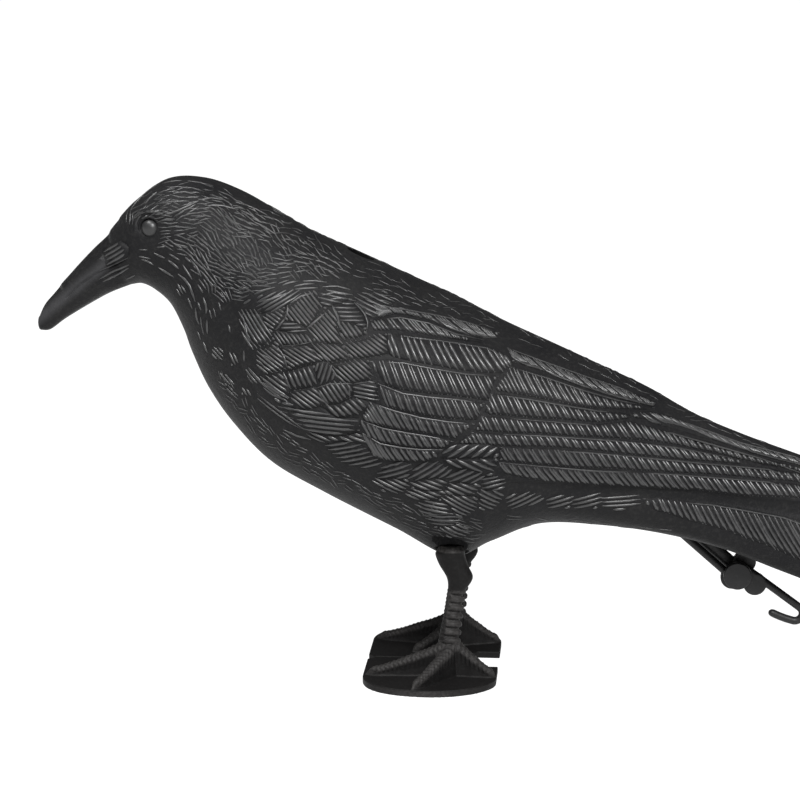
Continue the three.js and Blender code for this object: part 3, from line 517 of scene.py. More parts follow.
# Vanes: upper edge, lower edge, spacing of the barbs in mm, their heading at the front and the rear.
VANES = (
    ([(-8.9, 30.7), (-7.8, 30.5), (-6.1, 30.1), (-4.3, 29.7), (-2.1, 29.2), (0, 28.7), (2.2, 27.9),
     (5, 26.7)], [(-8.2, 29.4), (-6.1, 29.6), (-4.6, 29.3), (-2.4, 28.7), (-0.2, 27.7), (1.8, 26.8),
     (4.8, 26.3)], 1.7, -28, -36),
    ([(-9, 29.2), (-7.6, 29.3), (-6.1, 29.4), (-4.5, 29.1), (-2.4, 28.5), (-0.2, 27.5), (1.6, 26.8),
     (3.3, 26.4)], [(-8.7, 28.2), (-7.6, 28.1), (-6, 28.1), (-3.8, 27.7), (-1.4, 27.2), (0.7, 26.8),
     (2.3, 26.4), (3.3, 26.2)], 1.9, -42, -34),
    ([(-7, 27.9), (-5.7, 27.8), (-3.8, 27.4), (-1.4, 27), (0.7, 26.6), (2.9, 26.1), (4.5, 25.6),
     (5.7, 24.9), (7, 24.1)], [(-6.9, 25.6), (-5.6, 25.2), (-3.4, 24.7), (-1.3, 24.3), (0.9, 23.8),
     (3, 23.4), (5.5, 23.2)], 3, -62, -42),
    ([(-8.9, 25.2), (-7.2, 25.4), (-5.9, 25.2), (-4.5, 24.8), (-2.3, 24.4), (-0.2, 23.9), (2, 23.5),
     (5.2, 23.1)], [(-7.3, 22.6), (-6, 22.1), (-4.4, 21.8), (-2.2, 21.5), (-0.1, 21.3), (2.1, 20.9),
     (4.1, 20.5)], 2, -62, -52),
    ([(-8, 22.9), (-7.1, 22.3), (-5.5, 21.8), (-3.3, 21.5), (-1.2, 21.2), (1, 21), (3.8, 20.4)],
     [(-6.8, 20.1), (-5.5, 19.8), (-3.8, 19.4), (-2.2, 19.1), (0, 18.8), (3, 18.6)], 2, -62, -54),
    ([(-8.8, 20.8), (-6.8, 20.1), (-5.5, 19.7), (-3.8, 19.2), (-2.2, 19), (0, 18.6), (2.8, 18.3)],
     [(-9.8, 18.8), (-7.7, 18), (-5.5, 17.6), (-3.3, 17.4), (-1.1, 17), (0.6, 16.6)], 2.2, -52, -58),
    ([(-9.8, 18.7), (-8.6, 18.2), (-7.7, 17.9), (-5.5, 17.5), (-3.3, 17.2), (-1.1, 16.8), (0.4, 16.4)],
     [(-9, 16.7), (-7.7, 16.1), (-6, 15.9), (-4.4, 15.7), (-2.8, 15.6), (-0.3, 15.7)], 2.2, -56, -46),
    ([(-9.7, 17.3), (-8.6, 16.4), (-7.2, 15.9), (-5.5, 15.7), (-3.3, 15.5), (-0.7, 15.5)], [(-8.3, 14.3),
     (-7.4, 13.9), (-6.1, 13.8), (-4.4, 13.9), (-2.8, 14), (-1.4, 14.5)], 2.2, -54, -44),
    ([(5.8, 25.5), (7.2, 24.8), (8.9, 24.2), (10.8, 23.5), (12.8, 22.6), (15.1, 21.9), (17.3, 21.1),
     (19.5, 20.1), (21.2, 19.4), (22.5, 18.7)], [(6.7, 24.1), (8.4, 23.5), (10.1, 22.9), (11.7, 22.1),
     (13.4, 21.4), (15.1, 20.8), (16.8, 20.2), (18.4, 19.6), (20.7, 18.9), (22.5, 18.4)], 1.8, -34, -34),
    ([(6.3, 23.9), (7.9, 23.4), (9.5, 22.8), (11.5, 22), (13.4, 21.3), (15.1, 20.6), (16.8, 20),
     (18.4, 19.5), (20.7, 18.8), (22.4, 18.3)], [(4.5, 21.6), (6.3, 21.2), (8, 20.8), (9.6, 20.4),
     (11.8, 19.9), (13.5, 19.4), (15.1, 19.1), (16.8, 18.9), (19.6, 18.6), (22.2, 18.2)], 2.1, -56, -38),
    ([(4.3, 21.4), (5.8, 21.2), (7.5, 20.8), (9.6, 20.3), (11.8, 19.8), (13.5, 19.3), (16.2, 18.8),
     (18.4, 18.4), (19.9, 18)], [(3.5, 19.3), (5.3, 19), (7.5, 18.7), (9.7, 18.4), (11.9, 18.2),
     (14.1, 17.9), (16.2, 17.6), (17.9, 17.7), (19.9, 17.8)], 2.2, -58, -42),
    ([(3.4, 19.1), (5.3, 18.9), (7.5, 18.5), (9.7, 18.2), (11.9, 18), (14.1, 17.7), (16.2, 17.5),
     (17.9, 17.5), (19.3, 17.6), (20.9, 17.1), (22.9, 16.4), (26.3, 15.2), (28.6, 14.6), (30.8, 13.7),
     (34.2, 12.6), (38.5, 11.5), (44.5, 8.9)], [(2.6, 17.5), (4.8, 17.3), (7.5, 17), (9.7, 16.9),
     (11.9, 16.6), (14.1, 16.3), (16.3, 16.1), (18.5, 15.8), (20.7, 15.5), (22.9, 15.1), (25.2, 14.6),
     (27.4, 14), (29.7, 13.4), (31.9, 12.7), (34.2, 12.1), (38.5, 11.2), (44.6, 8.3)], 2.1, -56, -32),
    ([(2.4, 17.4), (4.8, 17.1), (7.5, 16.9), (9.7, 16.7), (11.9, 16.5), (14.1, 16.1), (16.3, 15.9),
     (18.5, 15.7), (20.7, 15.4), (22.9, 14.9), (25.2, 14.4), (27.4, 13.9), (29.7, 13.3), (32.2, 12.6)],
     [(0.8, 16.2), (3.2, 16), (5.4, 15.8), (7.6, 15.6), (9.7, 15.5), (11.9, 15.3), (14.1, 15), (16.3, 14.7),
     (18.5, 14.3), (20.7, 13.9), (22.9, 13.6), (25.2, 13.2), (27.4, 12.9), (29.7, 12.6), (32.2, 12.2)], 2.1,
     -52, -38),
    ([(5.4, 15.7), (7.6, 15.5), (9.7, 15.3), (11.9, 15.2), (14.1, 14.8), (16.3, 14.5), (18.5, 14.2),
     (20.7, 13.8), (22.9, 13.4), (25.2, 13.1), (27.4, 12.7), (29.7, 12.4), (31.9, 12.1), (35.3, 11.5),
     (38.5, 11), (44.6, 8.2)], [(5.4, 14.1), (7.6, 13.8), (9.8, 13.5), (11.9, 13.2), (14.1, 12.9),
     (16.3, 12.8), (18.5, 12.6), (20.7, 12.3), (23, 12.1), (25.2, 11.8), (27.4, 11.6), (29.7, 11.3),
     (31.9, 11), (35.3, 10.5), (38.5, 10.1), (44.7, 7.2)], 2.1, -52, -40),
    ([(5.3, 14), (7.6, 13.6), (9.8, 13.3), (11.9, 13), (14.1, 12.8), (16.3, 12.6), (20.8, 12.2),
     (25.2, 11.7), (29.7, 11.1), (34.2, 10.5), (38.5, 9.9), (44.7, 7.1)], [(5.8, 12.7), (8.7, 11.9),
     (10.9, 11.5), (13.6, 11.2), (16.4, 10.9), (20.8, 10.5), (24.1, 10.1), (27.4, 9.8), (29.7, 9.4),
     (32.5, 8.9), (38.5, 8.5), (44.8, 6)], 2.1, -46, -46),
    ([(20, 18.2), (21.8, 18.1), (23.4, 17.6), (25.2, 16.9), (27.4, 15.9), (29.1, 15.3), (32, 14.2),
     (35.4, 13.2), (38.4, 12.4), (44.3, 9.9)], [(19.8, 17.9), (21.2, 17.5), (22.9, 16.7), (25.2, 15.9),
     (27.4, 15.1), (29.1, 14.6), (32, 13.5), (35.4, 12.5), (38.5, 11.7), (44.5, 9)], 1.9, -32, -28),
    ([(21.1, 9.1), (23, 9.2), (25.2, 8.8), (27.5, 8.3), (29.7, 8.1), (31.9, 7.7), (34.2, 7.2), (36.5, 6.7),
     (38.6, 6.2), (45.4, 3.4), (51.3, -0.4)], [(22.2, 7.8), (24.2, 7.2), (26.4, 6.3), (28.6, 5.7),
     (30.9, 4.9), (33.1, 4), (35.4, 3.1), (37.1, 2.3), (38.7, 1.6), (45.2, -1.5), (51.4, -4.2)], 2.4, -54,
     -52),
)
# Small feathers: outline, heading of the barbs and their spacing in mm.
PATCHES = (
    ([(-21, 31), (-18.6, 31.6), (-17.1, 31.7), (-18.3, 30.7), (-19.8, 29.8), (-21, 29.8)], 30, 1.5),
    ([(-20.9, 29.6), (-18.4, 30.7), (-18.5, 29.5), (-19.5, 28.1), (-20.8, 28.9)], -30, 1.5),
    ([(-23.2, 29.4), (-21, 29.6), (-20.6, 28.5), (-20.2, 26.4), (-21.7, 26.4), (-22.6, 27.4)], -52, 1.7),
    ([(-18.1, 30.5), (-16.7, 31.4), (-15, 31.6), (-14.4, 30.4), (-15.7, 28.5), (-17.1, 29), (-18.2, 29.2)],
     -45, 1.5),
    ([(-18.5, 29), (-16.8, 28.9), (-15.9, 28.3), (-17, 28), (-19, 28.1)], 4, 1.5),
    ([(-19.3, 28), (-17, 27.8), (-15.2, 27), (-16.5, 26.7), (-18.4, 26.5)], -50, 1.5),
    ([(-15.7, 28.4), (-14.2, 30.1), (-13.2, 30.1), (-12.4, 28.3), (-12.2, 26.8), (-13.8, 27)], -45, 1.5),
    ([(-14.8, 31.5), (-13.1, 31.7), (-11.3, 31.2), (-13.2, 30.7), (-14.1, 30.6)], -12, 1.6),
    ([(-13, 30.6), (-11, 30.9), (-9.5, 29.5), (-9.3, 28.2), (-11.2, 29.2), (-12.2, 29.3)], -2, 1.5),
    ([(-12.3, 29.1), (-11.1, 29), (-9.2, 27.9), (-10.2, 27.5), (-12.1, 27.5)], -50, 1.6),
    ([(-10.8, 31.1), (-8.1, 31.2), (-6.2, 29.9), (-7.5, 29.4), (-9.2, 29.5)], -24, 1.5),
    ([(-20.9, 25.7), (-19, 26.4), (-18, 24.1), (-20.2, 23.5), (-21, 24.6)], -35, 1.6),
    ([(-18.7, 26.2), (-15.7, 26.6), (-15.1, 25.9), (-14.2, 25), (-17.8, 24)], -30, 1.6),
    ([(-15.2, 26.5), (-12.6, 26.9), (-11.3, 25.5), (-13.1, 24.9), (-14.1, 25.2)], -38, 1.5),
    ([(-11.3, 26.9), (-8.9, 27.5), (-7.1, 27.7), (-6.9, 25.8), (-9.7, 25.4), (-10.8, 25.7)], -36, 1.5),
    ([(-20.9, 22.4), (-18.5, 23.3), (-17.7, 21.6), (-18.4, 20.5), (-20.2, 21.8)], -33, 2),
    ([(-18.2, 23.4), (-15.2, 24.5), (-14.6, 23), (-15.2, 22.2), (-17.6, 21.8)], -64, 2.2),
    ([(-14.8, 24.9), (-13.2, 24.9), (-12.8, 23.6), (-14.1, 22.6), (-14.7, 23)], 72, 1.9),
    ([(-12.8, 24.6), (-9.9, 25.2), (-9, 24.9), (-8.8, 23.2), (-10.7, 22.6), (-11.7, 23.1)], -40, 1.6),
    ([(-17.6, 21.4), (-14.8, 22.1), (-13.8, 20.3), (-15.7, 19.4), (-16.9, 20.4)], -34, 1.8),
    ([(-14.5, 22), (-13.2, 22.5), (-10.8, 22.4), (-10.7, 21.4), (-12.3, 20.4), (-13.4, 20.4)], -54, 1.9),
    ([(-10.6, 22.4), (-8.8, 22.9), (-7.9, 22.5), (-8.1, 21), (-9.5, 21), (-10.6, 21.4)], -10, 1.7),
    ([(-13.9, 20), (-12.1, 20.3), (-10.7, 21), (-9.4, 20.9), (-8.5, 20.1), (-10.8, 19.1), (-12.5, 18.8)],
     -43, 2.2),
    ([(-18.4, 19.4), (-16.1, 19.3), (-14.1, 19.9), (-12.8, 18.7), (-10.1, 18.8), (-10.2, 17.3),
     (-13.3, 16.6), (-15.3, 17.1), (-17.1, 18.2)], -3, 2),
    ([(-15.3, 16.7), (-12.2, 16.5), (-10.1, 17.1), (-9, 16), (-11.6, 16.2), (-13.3, 15.8)], -20, 1.9),
    ([(-13.5, 15.8), (-11.6, 16), (-9.9, 15.6), (-8.7, 14.8), (-7.6, 13.9), (-9.4, 13.4), (-11.7, 13.7),
     (-12.8, 14.7)], 16, 2.1),
    ([(-7.7, 11.8), (-6.8, 13.2), (-5.3, 13.9), (-4.1, 13.3), (-4.7, 12.6), (-5.8, 11.9)], 20, 2.1),
    ([(-4.2, 11.8), (-3.9, 13.1), (-2.5, 13.8), (-1.2, 13.8), (-0.1, 12.9), (-1.1, 12.2)], 34, 2.1),
    ([(-0.9, 14.6), (0, 15.8), (1.1, 16.1), (4.3, 16), (5.4, 15.4), (5.3, 14.6)], 33, 2.6),
    ([(-0.9, 14.4), (5.3, 14.3), (4.9, 13.6), (2.8, 13.2), (0.6, 13.6)], -28, 2.4),
    ([(-0.2, 12.4), (1.1, 13), (2.8, 13.1), (3.4, 12.3), (2.2, 11.5), (0.2, 11.7)], 26, 2.1),
    ([(-4.2, 11.3), (-2.5, 11.8), (-0.5, 11.7), (-1.1, 10.7), (-2.8, 10.4)], -20, 1.9),
    ([(-8.1, 11.2), (-6.4, 11.7), (-4.8, 11.2), (-5.7, 10.4), (-7.2, 10.5)], -25, 1.9),
    ([(-0.6, 11), (1.1, 11.5), (3.1, 11.1), (2.3, 10), (0.2, 10.3)], -24, 2),
    ([(3.4, 11.8), (4.5, 12.1), (5.5, 11.6), (5.4, 10.8), (3.9, 10.6)], 12, 1.9),
    ([(-4.5, 10.1), (-2.5, 10.5), (-0.9, 10.3), (-1.9, 9.4), (-3.6, 9.5)], -20, 1.8),
    ([(-0.7, 9.6), (1.1, 10), (3.1, 9.7), (2.2, 8.4), (1, 7.7), (-0.1, 8.5)], -30, 1.8),
    ([(3.1, 10.4), (4.3, 10.5), (5.3, 9.9), (4.4, 8.6), (3.3, 9)], -30, 1.9),
    ([(-3, 9.1), (-1.2, 9.1), (0, 8.6), (0.1, 7.8), (-1.9, 7.5), (-3, 8)], -10, 1.9),
    ([(-2.4, 7), (-0.7, 7.3), (0.3, 7), (0, 6.3), (-1.8, 6.3)], 0, 1.9),
    ([(-0.9, 5.8), (0.4, 6), (1.5, 5.2), (0, 4.9)], -28, 1.9),
)
# Groups of barbs without a mound beneath them, and the bristles over the nostril.
LOOSE = (
    ([(-26.9, 25.4), (-25.4, 25.4), (-25.7, 23.9), (-27.2, 24.1)], -40, 1.6),
    ([(-25, 25.1), (-23.9, 25.1), (-23.5, 24.1), (-24.5, 23.4)], -62, 1.6),
    ([(-22.9, 23.7), (-22.1, 23.5), (-21, 22.2), (-21.9, 21.8), (-22.7, 22.5)], -46, 1.6),
    ([(-26.2, 22.4), (-25, 22.4), (-24.3, 21.3), (-25.4, 20.9)], -44, 1.7),
    ([(-25.6, 21.1), (-24.6, 21), (-24.4, 19.8), (-25.3, 19.9)], -44, 1.6),
    ([(-23.7, 21.2), (-22.7, 21.1), (-22.3, 20.2), (-23.4, 20.2)], -56, 1.6),
    ([(6, 9.8), (8.7, 10.2), (10.3, 9.6), (9.8, 8.7), (6.3, 8.1)], 26, 1.9),
    ([(10.4, 9.3), (12, 9.7), (13.6, 9.4), (13.1, 8.1), (10.7, 7.8)], 16, 2),
    ([(13.3, 9.2), (15.3, 9.9), (16.6, 9.7), (16.7, 8.7), (16, 8), (13.4, 8)], 14, 1.9),
    ([(16.6, 9.2), (18.6, 9.7), (21, 9.4), (20.8, 8.2), (18.6, 7.8), (16.8, 8)], 3, 1.8),
)
BRISTLES = [(-40.1, 35.1), (-39.3, 35.9), (-37.7, 36.5), (-36.8, 36), (-36.8, 35), (-38, 34.3),
    (-39.6, 33.6)]
# Single raised lines and half their breadth in mm.
LINES = {
    0.68: [[(-30.9, 33.3), (-30, 32.7), (-29.4, 31.9), (-28.9, 30.3)]],
    0.62: [[(-27.9, 30.9), (-27.5, 29.8), (-27.6, 29.1)], [(-27.5, 28.4), (-27.5, 26.8)]],
    0.6: [[(-32, 34.8), (-31.4, 34.4), (-30.8, 33.9)], [(-28.1, 25.7), (-27.6, 24.5)]],
    0.56: [[(-33.2, 33.8), (-32.4, 33.4), (-31.5, 32.9)], [(-31, 32.1), (-30.4, 31)], [(-28.9, 29.6),
        (-28.8, 28.3), (-28.5, 27.7)], [(-21.9, 31.7), (-20.7, 32.2), (-19.6, 32.5)], [(-23.3, 29.4),
        (-22.9, 28.4), (-22.5, 26.9), (-22.2, 26.2)], [(-13.2, 30.7), (-12.5, 29.5), (-12.1, 28.3)],
        [(-24.9, 28.1), (-24.7, 27.3)], [(-32.8, 39.8), (-31.5, 40), (-30.2, 40.6), (-28.7, 41.3)],
        [(-36.8, 33.9), (-38.7, 33), (-40.6, 31.9)]],
    0.52: [[(-21.6, 20.7), (-20.1, 19.6), (-18.2, 18.4), (-16.2, 17)], [(-18.7, 16.7), (-17.2, 16.1),
        (-15.5, 15.8)], [(-20.7, 22.2), (-19.5, 21.4), (-17.9, 20.6)], [(-23.1, 30.6), (-22.3, 31.1)],
        [(-18.8, 32.7), (-17.9, 33), (-17.1, 33.1)], [(-21.4, 30.9), (-19.8, 31.3), (-18.3, 31.9)],
        [(-23, 25.5), (-23, 24.3)], [(-15.8, 28.4), (-14.6, 29.4), (-14, 29.9)], [(-19, 26.2),
        (-18.3, 25.2), (-17.9, 24)], [(-27.9, 40.8), (-26.5, 40.9), (-24.3, 40.3)], [(-34.6, 40),
        (-33.4, 40.1), (-32.7, 40.3)], [(-24.1, 40.3), (-22.9, 39.7), (-21.8, 39)]],
    0.5: [[(-35.2, 34.7), (-34.5, 34.5), (-33.8, 34.1)], [(-31.8, 35.5), (-30.7, 34.9)], [(-30.6, 32),
        (-30, 31.2)], [(-29.4, 35.1), (-28.5, 34.1), (-28.1, 33.2)], [(-31.4, 36.8), (-30.3, 36.2)],
        [(-30.3, 34.4), (-29.6, 33.4), (-29.2, 32.8)], [(-36.3, 38.5), (-36.2, 39.1), (-36, 39.5),
        (-35.6, 39.8), (-35, 40)], [(-34.6, 40.1), (-33.8, 40.1), (-32.9, 40)]],
    0.48: [[(-33.7, 35.5), (-32.4, 35)], [(-28.6, 30.3), (-28.2, 29.4)], [(-28.8, 26.8), (-28.4, 25.9)],
        [(-30, 35.3), (-29.3, 34.7)]],
    0.47: [[(-21.6, 20.1), (-19.9, 18.9), (-18, 17.7), (-16.7, 17.1)], [(-22.5, 23.7), (-21.7, 22.9),
        (-20.9, 22.1)], [(-16.6, 33.1), (-15.3, 33.1), (-14, 32.9)], [(-17.8, 30.9), (-16.7, 31.6),
        (-15.4, 31.9)], [(-17.4, 32.3), (-16.1, 32.4), (-14.9, 32.4)], [(-14.4, 31.7), (-13.1, 31.9),
        (-11.8, 31.6)], [(-18.4, 29.1), (-18, 30.1), (-18.1, 30.7)], [(-19.3, 28.1), (-18.4, 29.2)],
        [(-10.9, 30.9), (-9.9, 30.1), (-9.2, 29.1), (-9.3, 28.1)], [(-35, 40.7), (-34.3, 41.5),
        (-33.7, 42)], [(-28.7, 41.4), (-27.4, 41.6), (-25.9, 41.3)], [(-26.6, 40.5), (-25.9, 39.8),
        (-25.2, 38.8)], [(-25.7, 40), (-24.8, 39.2), (-23.8, 38.2)], [(-22.6, 39.1), (-21.3, 38.5),
        (-19.9, 37.6)], [(-36.9, 33.5), (-38.5, 32.5), (-40.2, 31.6)]],
    0.46: [[(-28.5, 32.3), (-27.9, 31.4)], [(-29.8, 30.6), (-29.3, 29.4)]],
    0.44: [[(-35.8, 41.2), (-34.7, 42.1), (-33.7, 42.7)], [(-33.3, 42.8), (-32.2, 43.1), (-31, 43.2)],
        [(-30.4, 43.2), (-28.8, 43), (-27.3, 42.5)], [(-26.1, 30.5), (-25.8, 29.6)], [(-33.3, 36.2),
        (-32.3, 36.3)]],
    0.43: [[(-20.8, 21.6), (-19.8, 20.9), (-18.5, 20.4)], [(-17.5, 32.6), (-16.4, 32.8), (-15.3, 32.8)],
        [(-13.5, 31.3), (-12.2, 31.4), (-10.7, 31)], [(-14.4, 32.5), (-12.9, 32.5), (-11.4, 32.1)],
        [(-20.9, 25.4), (-19.5, 24.7), (-18.3, 24)], [(-15.3, 26.9), (-14.1, 25.8), (-13.2, 24.8)],
        [(-14.7, 22), (-13.4, 22.5), (-11, 22.6), (-8.6, 22.9)], [(-15, 22.1), (-14.1, 21), (-13, 19.5)],
        [(-13.2, 24.6), (-12.5, 23.5), (-11.4, 22.7)], [(-31.2, 31.5), (-30.7, 30.7)], [(-30.6, 39.6),
        (-29.4, 40), (-28.3, 40.1)], [(-30.8, 40.1), (-29.5, 40.6), (-28.6, 40.4)], [(-31.7, 42),
        (-30.4, 42.2), (-29, 41.9)], [(-32.5, 42.4), (-31.4, 42.7), (-30, 42.5)], [(-36.9, 34.7),
        (-38.9, 33.6), (-40.6, 32.8)]],
    0.42: [[(-26.8, 42.2), (-25.5, 41.7), (-24.3, 40.9)], [(-36.8, 39.9), (-36.2, 40.8), (-35.5, 41.4)]],
    0.4: [[(-34, 41.6), (-32.8, 42.2), (-31.6, 42.5)], [(-31, 42.6), (-29.8, 42.6), (-28.2, 42.2)],
        [(-23.8, 40.8), (-22.5, 40.2), (-21.2, 39.5)], [(-35.8, 38.3), (-35.8, 38.8), (-35.5, 39.3),
        (-35.2, 39.6)]],
    0.39: [[(-18.6, 26.4), (-17, 26.6), (-15.3, 27)], [(-11, 22.4), (-11, 21.1)], [(-28.3, 28.6),
        (-28.2, 27.5)], [(-33, 41.1), (-31.6, 41.2), (-30.2, 41.2)]],
    0.38: [[(-27.6, 41.9), (-26.3, 41.5), (-25, 40.8)]],
    0.36: [[(-28.2, 27.6), (-28, 26.6)], [(-27.2, 29.6), (-26.9, 28.6)]],
    0.34: [[(-26.7, 29.8), (-26.4, 28.8)], [(-35.5, 35), (-34.1, 34.8)], [(-37.4, 32), (-36.3, 32.6)],
        [(-35.5, 35.8), (-34.4, 35.8)]],
}
# Regions of small tufts: outline, gap between tufts, strokes in each, length and half breadth in mm,
# and how many degrees they scatter by.
TUFTS = (
    ([(-37.2, 38.6), (-35.2, 40.6), (-32.6, 41.9), (-29.8, 42.1), (-26, 41.2), (-21.6, 39.6), (-17.4, 37.6),
     (-14.6, 36), (-12, 34.2), (-11.6, 33.5), (-14, 33.6), (-17.1, 33.8), (-19.6, 33.2), (-21.9, 32.4),
     (-23.7, 31.1), (-25.1, 31), (-26.5, 31.2), (-27.4, 31.8), (-28.1, 33), (-28.8, 34.3), (-29.9, 35.6),
     (-31.4, 36.5), (-32.6, 36.6), (-32.4, 38), (-33.2, 39.8), (-35.6, 39.8)], 0.84, 3, 1.4, 0.33, 16),
    ([(-26, 22.6), (-24.3, 20.6), (-21, 17.6), (-17, 15.2), (-12.6, 12.4), (-9, 9.8), (-12, 9.4),
     (-17, 11.6), (-22, 15), (-26, 19.6), (-27, 21.4)], 0.95, 2, 1.3, 0.27, 16),
    ([(-10, 30.9), (-2, 29.6), (8, 25.9), (20, 20.6), (34, 14), (44, 10), (38.7, 12.2), (32.5, 14.4),
     (27, 16.7), (21.6, 19.7), (16.1, 22.2), (10.7, 24.6), (5.2, 27), (-0.2, 29.7), (-5.6, 32.1),
     (-11.1, 34.6)], 0.9, 2, 1.4, 0.26, 5),
    ([(-10, 9.4), (-6, 9), (-1, 8.4), (3, 6.6), (3, 3.6), (-3, 4.4), (-8, 6.6)], 1, 2, 1.4, 0.26, 16),
    ([(7, 7), (12, 6.6), (18, 6.4), (23, 5.2), (26, 4.6), (20, 4.6), (12, 4.4), (6, 3)], 1.9, 2, 1.5, 0.24,
     16),
    ([(-35.7, 41), (-33, 42.7), (-30, 43.1), (-26, 42.1), (-21.6, 40.1), (-17.4, 37.9), (-14.6, 36.3),
     (-14.6, 35.8), (-17.4, 37.3), (-21.6, 39.4), (-26, 41), (-29.8, 41.9), (-32.6, 41.7), (-35.2, 40.4)],
     1.15, 2, 1.3, 0.26, 6),
)
# Where the tufts head: x, z and heading in degrees.
FLOW = np.array([
    (-37, 39, 50), (-34.5, 41, 38), (-31, 42.5, 12), (-28, 42.6, -8), (-24, 41, -24), (-19, 38.5, -28),
    (-14, 35.5, -26), (-33, 39.8, 8), (-30, 40.6, 16), (-27, 40, -20), (-32, 38, -10), (-29, 38, 8),
    (-26.5, 37.5, -45), (-31.5, 36, -26), (-28.5, 35.5, -40), (-25, 36, -46), (-21, 36, -36),
    (-17, 34.5, -25), (-34.5, 34, -14), (-31, 33, -40), (-28, 32.5, -56), (-24, 33, -22), (-20, 33, 12),
    (-15, 33, 4), (-29, 30, -62), (-26, 30.5, -50), (-28, 27, -80), (-27, 24, -68), (-25, 21, -55),
    (-22, 17, -42), (-16, 13, -30), (-8, 9, -22), (-2, 5, -16), (12, 6, -8), (22, 5, -12), (-5, 31, -22),
    (8, 26, -26), (22, 20, -26), (34, 14, -22), (-25.5, 27, -78), (-33.5, 32.2, -30), (-22, 31, 24),
])
flat_spots, flat_faces, strokes = [], [], []
dice = np.random.default_rng(7)


def run_of(line, count):
    """Evenly spaced spots along a line through points, and the line's length."""
    line = np.asarray(line, float)
    walked = np.append(0, np.cumsum(np.hypot(*np.diff(line, axis=0).T)))
    stops = np.linspace(0, walked[-1], count)
    return np.stack([np.interp(stops, walked, line[:, axis]) for axis in (0, 1)], axis=-1), walked[-1]


def heading_of(degrees):
    return np.array([math.cos(math.radians(degrees)), math.sin(math.radians(degrees))])


def inside(spots, outline):
    """Which spots lie inside a closed outline."""
    hits = np.zeros(len(spots), bool)
    for a, b in zip(outline, np.roll(outline, -1, axis=0)):
        crosses = (a[1] > spots[:, 1]) != (b[1] > spots[:, 1])
        hits ^= crosses & (spots[:, 0] < (b[0] - a[0]) * (spots[:, 1] - a[1]) / (b[1] - a[1] + 1e-12) + a[0])
    return hits


def shingle(rings):
    """Adds a closed form over rings of rows x, z in hundredths and rise in millimetres."""
    rings = np.asarray(rings, float)
    flat_faces.extend(loft_faces(*rings.shape[:2], sum(len(spots) for spots in flat_spots)))
    flat_spots.append(capped(rings))


# Points along a barb's way, how far in mm a barb stops short of its feather's edge, how short it may
# be, half its breadth as a share of the spacing, and the height of a small feather's mound.
BARB_POINTS, BARB_INSET, SHORTEST_BARB = 48, 0.3, 0.9
VANE_GIRTH, LEAF_GIRTH, LEAF_RISE = 0.37, 0.34, 0.5


def barb_path(start, heading, reach, bow):
    """A barb's way from a start in a heading, bowed a little."""
    turn = np.radians(heading + bow * (np.linspace(0, 1, BARB_POINTS) - 0.5) * 2)
    steps = np.stack([np.cos(turn), np.sin(turn)], axis=-1)
    return start + reach / (BARB_POINTS - 1) * np.cumsum(steps, axis=0)


def barb(path, within, girth):
    """Keeps the longest stretch of a barb's way that lies within its feather."""
    hits = np.flatnonzero(within)
    if len(hits) < 2:
        return
    hits = max(np.split(hits, np.flatnonzero(np.diff(hits) > 1) + 1), key=len)
    step = np.hypot(*(path[1] - path[0])) * SHARE / MM
    ends = hits[0] + BARB_INSET / step, hits[-1] - BARB_INSET / step
    if (ends[1] - ends[0]) * step > SHORTEST_BARB:
        stops = np.linspace(*ends, 4)
        own = [np.interp(stops, np.arange(BARB_POINTS), path[:, axis]) for axis in (0, 1)]
        strokes.append((np.stack(own, axis=-1), girth))


def beyond(spots, outline):
    """How far spots lie outside a closed outline, in hundredths; inside it the distance is negative."""
    gap = away(spots[:, 0], spots[:, 1], [*outline, outline[0]])[0]
    return np.where(inside(spots, outline), -gap, gap)


def vane(top, foot, spacing, heading_front, heading_rear):
    """A long feather: its upper edge is tucked in, and it rises to a ledge along its lower edge."""
    length = run_of(top, 2)[1]
    columns = round(length * SHARE / MM / 1.3)
    upper, lower = run_of(top, columns)[0], run_of(foot, columns)[0]
    across = np.array([0, 0.05, 0.45, 0.9, 1.0, 1.0, 0.0])
    lift = np.array([-0.3, 0.25, 0.3, 0.6, -0.2, -1.2, -1.2])
    ends = np.minimum(1, np.minimum(np.arange(columns), np.arange(columns)[::-1]) / 1.2)[:, None]
    spots = upper[:, None] * (1 - across[:, None]) + lower[:, None] * across[:, None]
    rises = np.where(lift > 0, lift * ends - 0.3 * (1 - ends), lift)
    shingle(np.concatenate([spots, np.broadcast_to(rises, (columns, 7))[..., None]], axis=-1))
    outline = np.concatenate([upper, lower[::-1]])
    height = np.hypot(*(lower - upper).T).max()
    front = heading_of(math.degrees(math.atan2(*(upper[1] - upper[0])[::-1])))
    step = spacing * MM / SHARE
    for walked in np.arange(-height * 1.2, length, step):
        share = max(walked, 0) / length
        start = upper[0] + front * walked if walked < 0 else upper[int(share * (columns - 1))]
        path = barb_path(start, heading_front + (heading_rear - heading_front) * share, height * 2.4, 10)
        barb(path, inside(path, outline), VANE_GIRTH * spacing)
    strokes.append((run_of(upper * 0.94 + lower * 0.06, max(4, columns // 3))[0], 0.45))


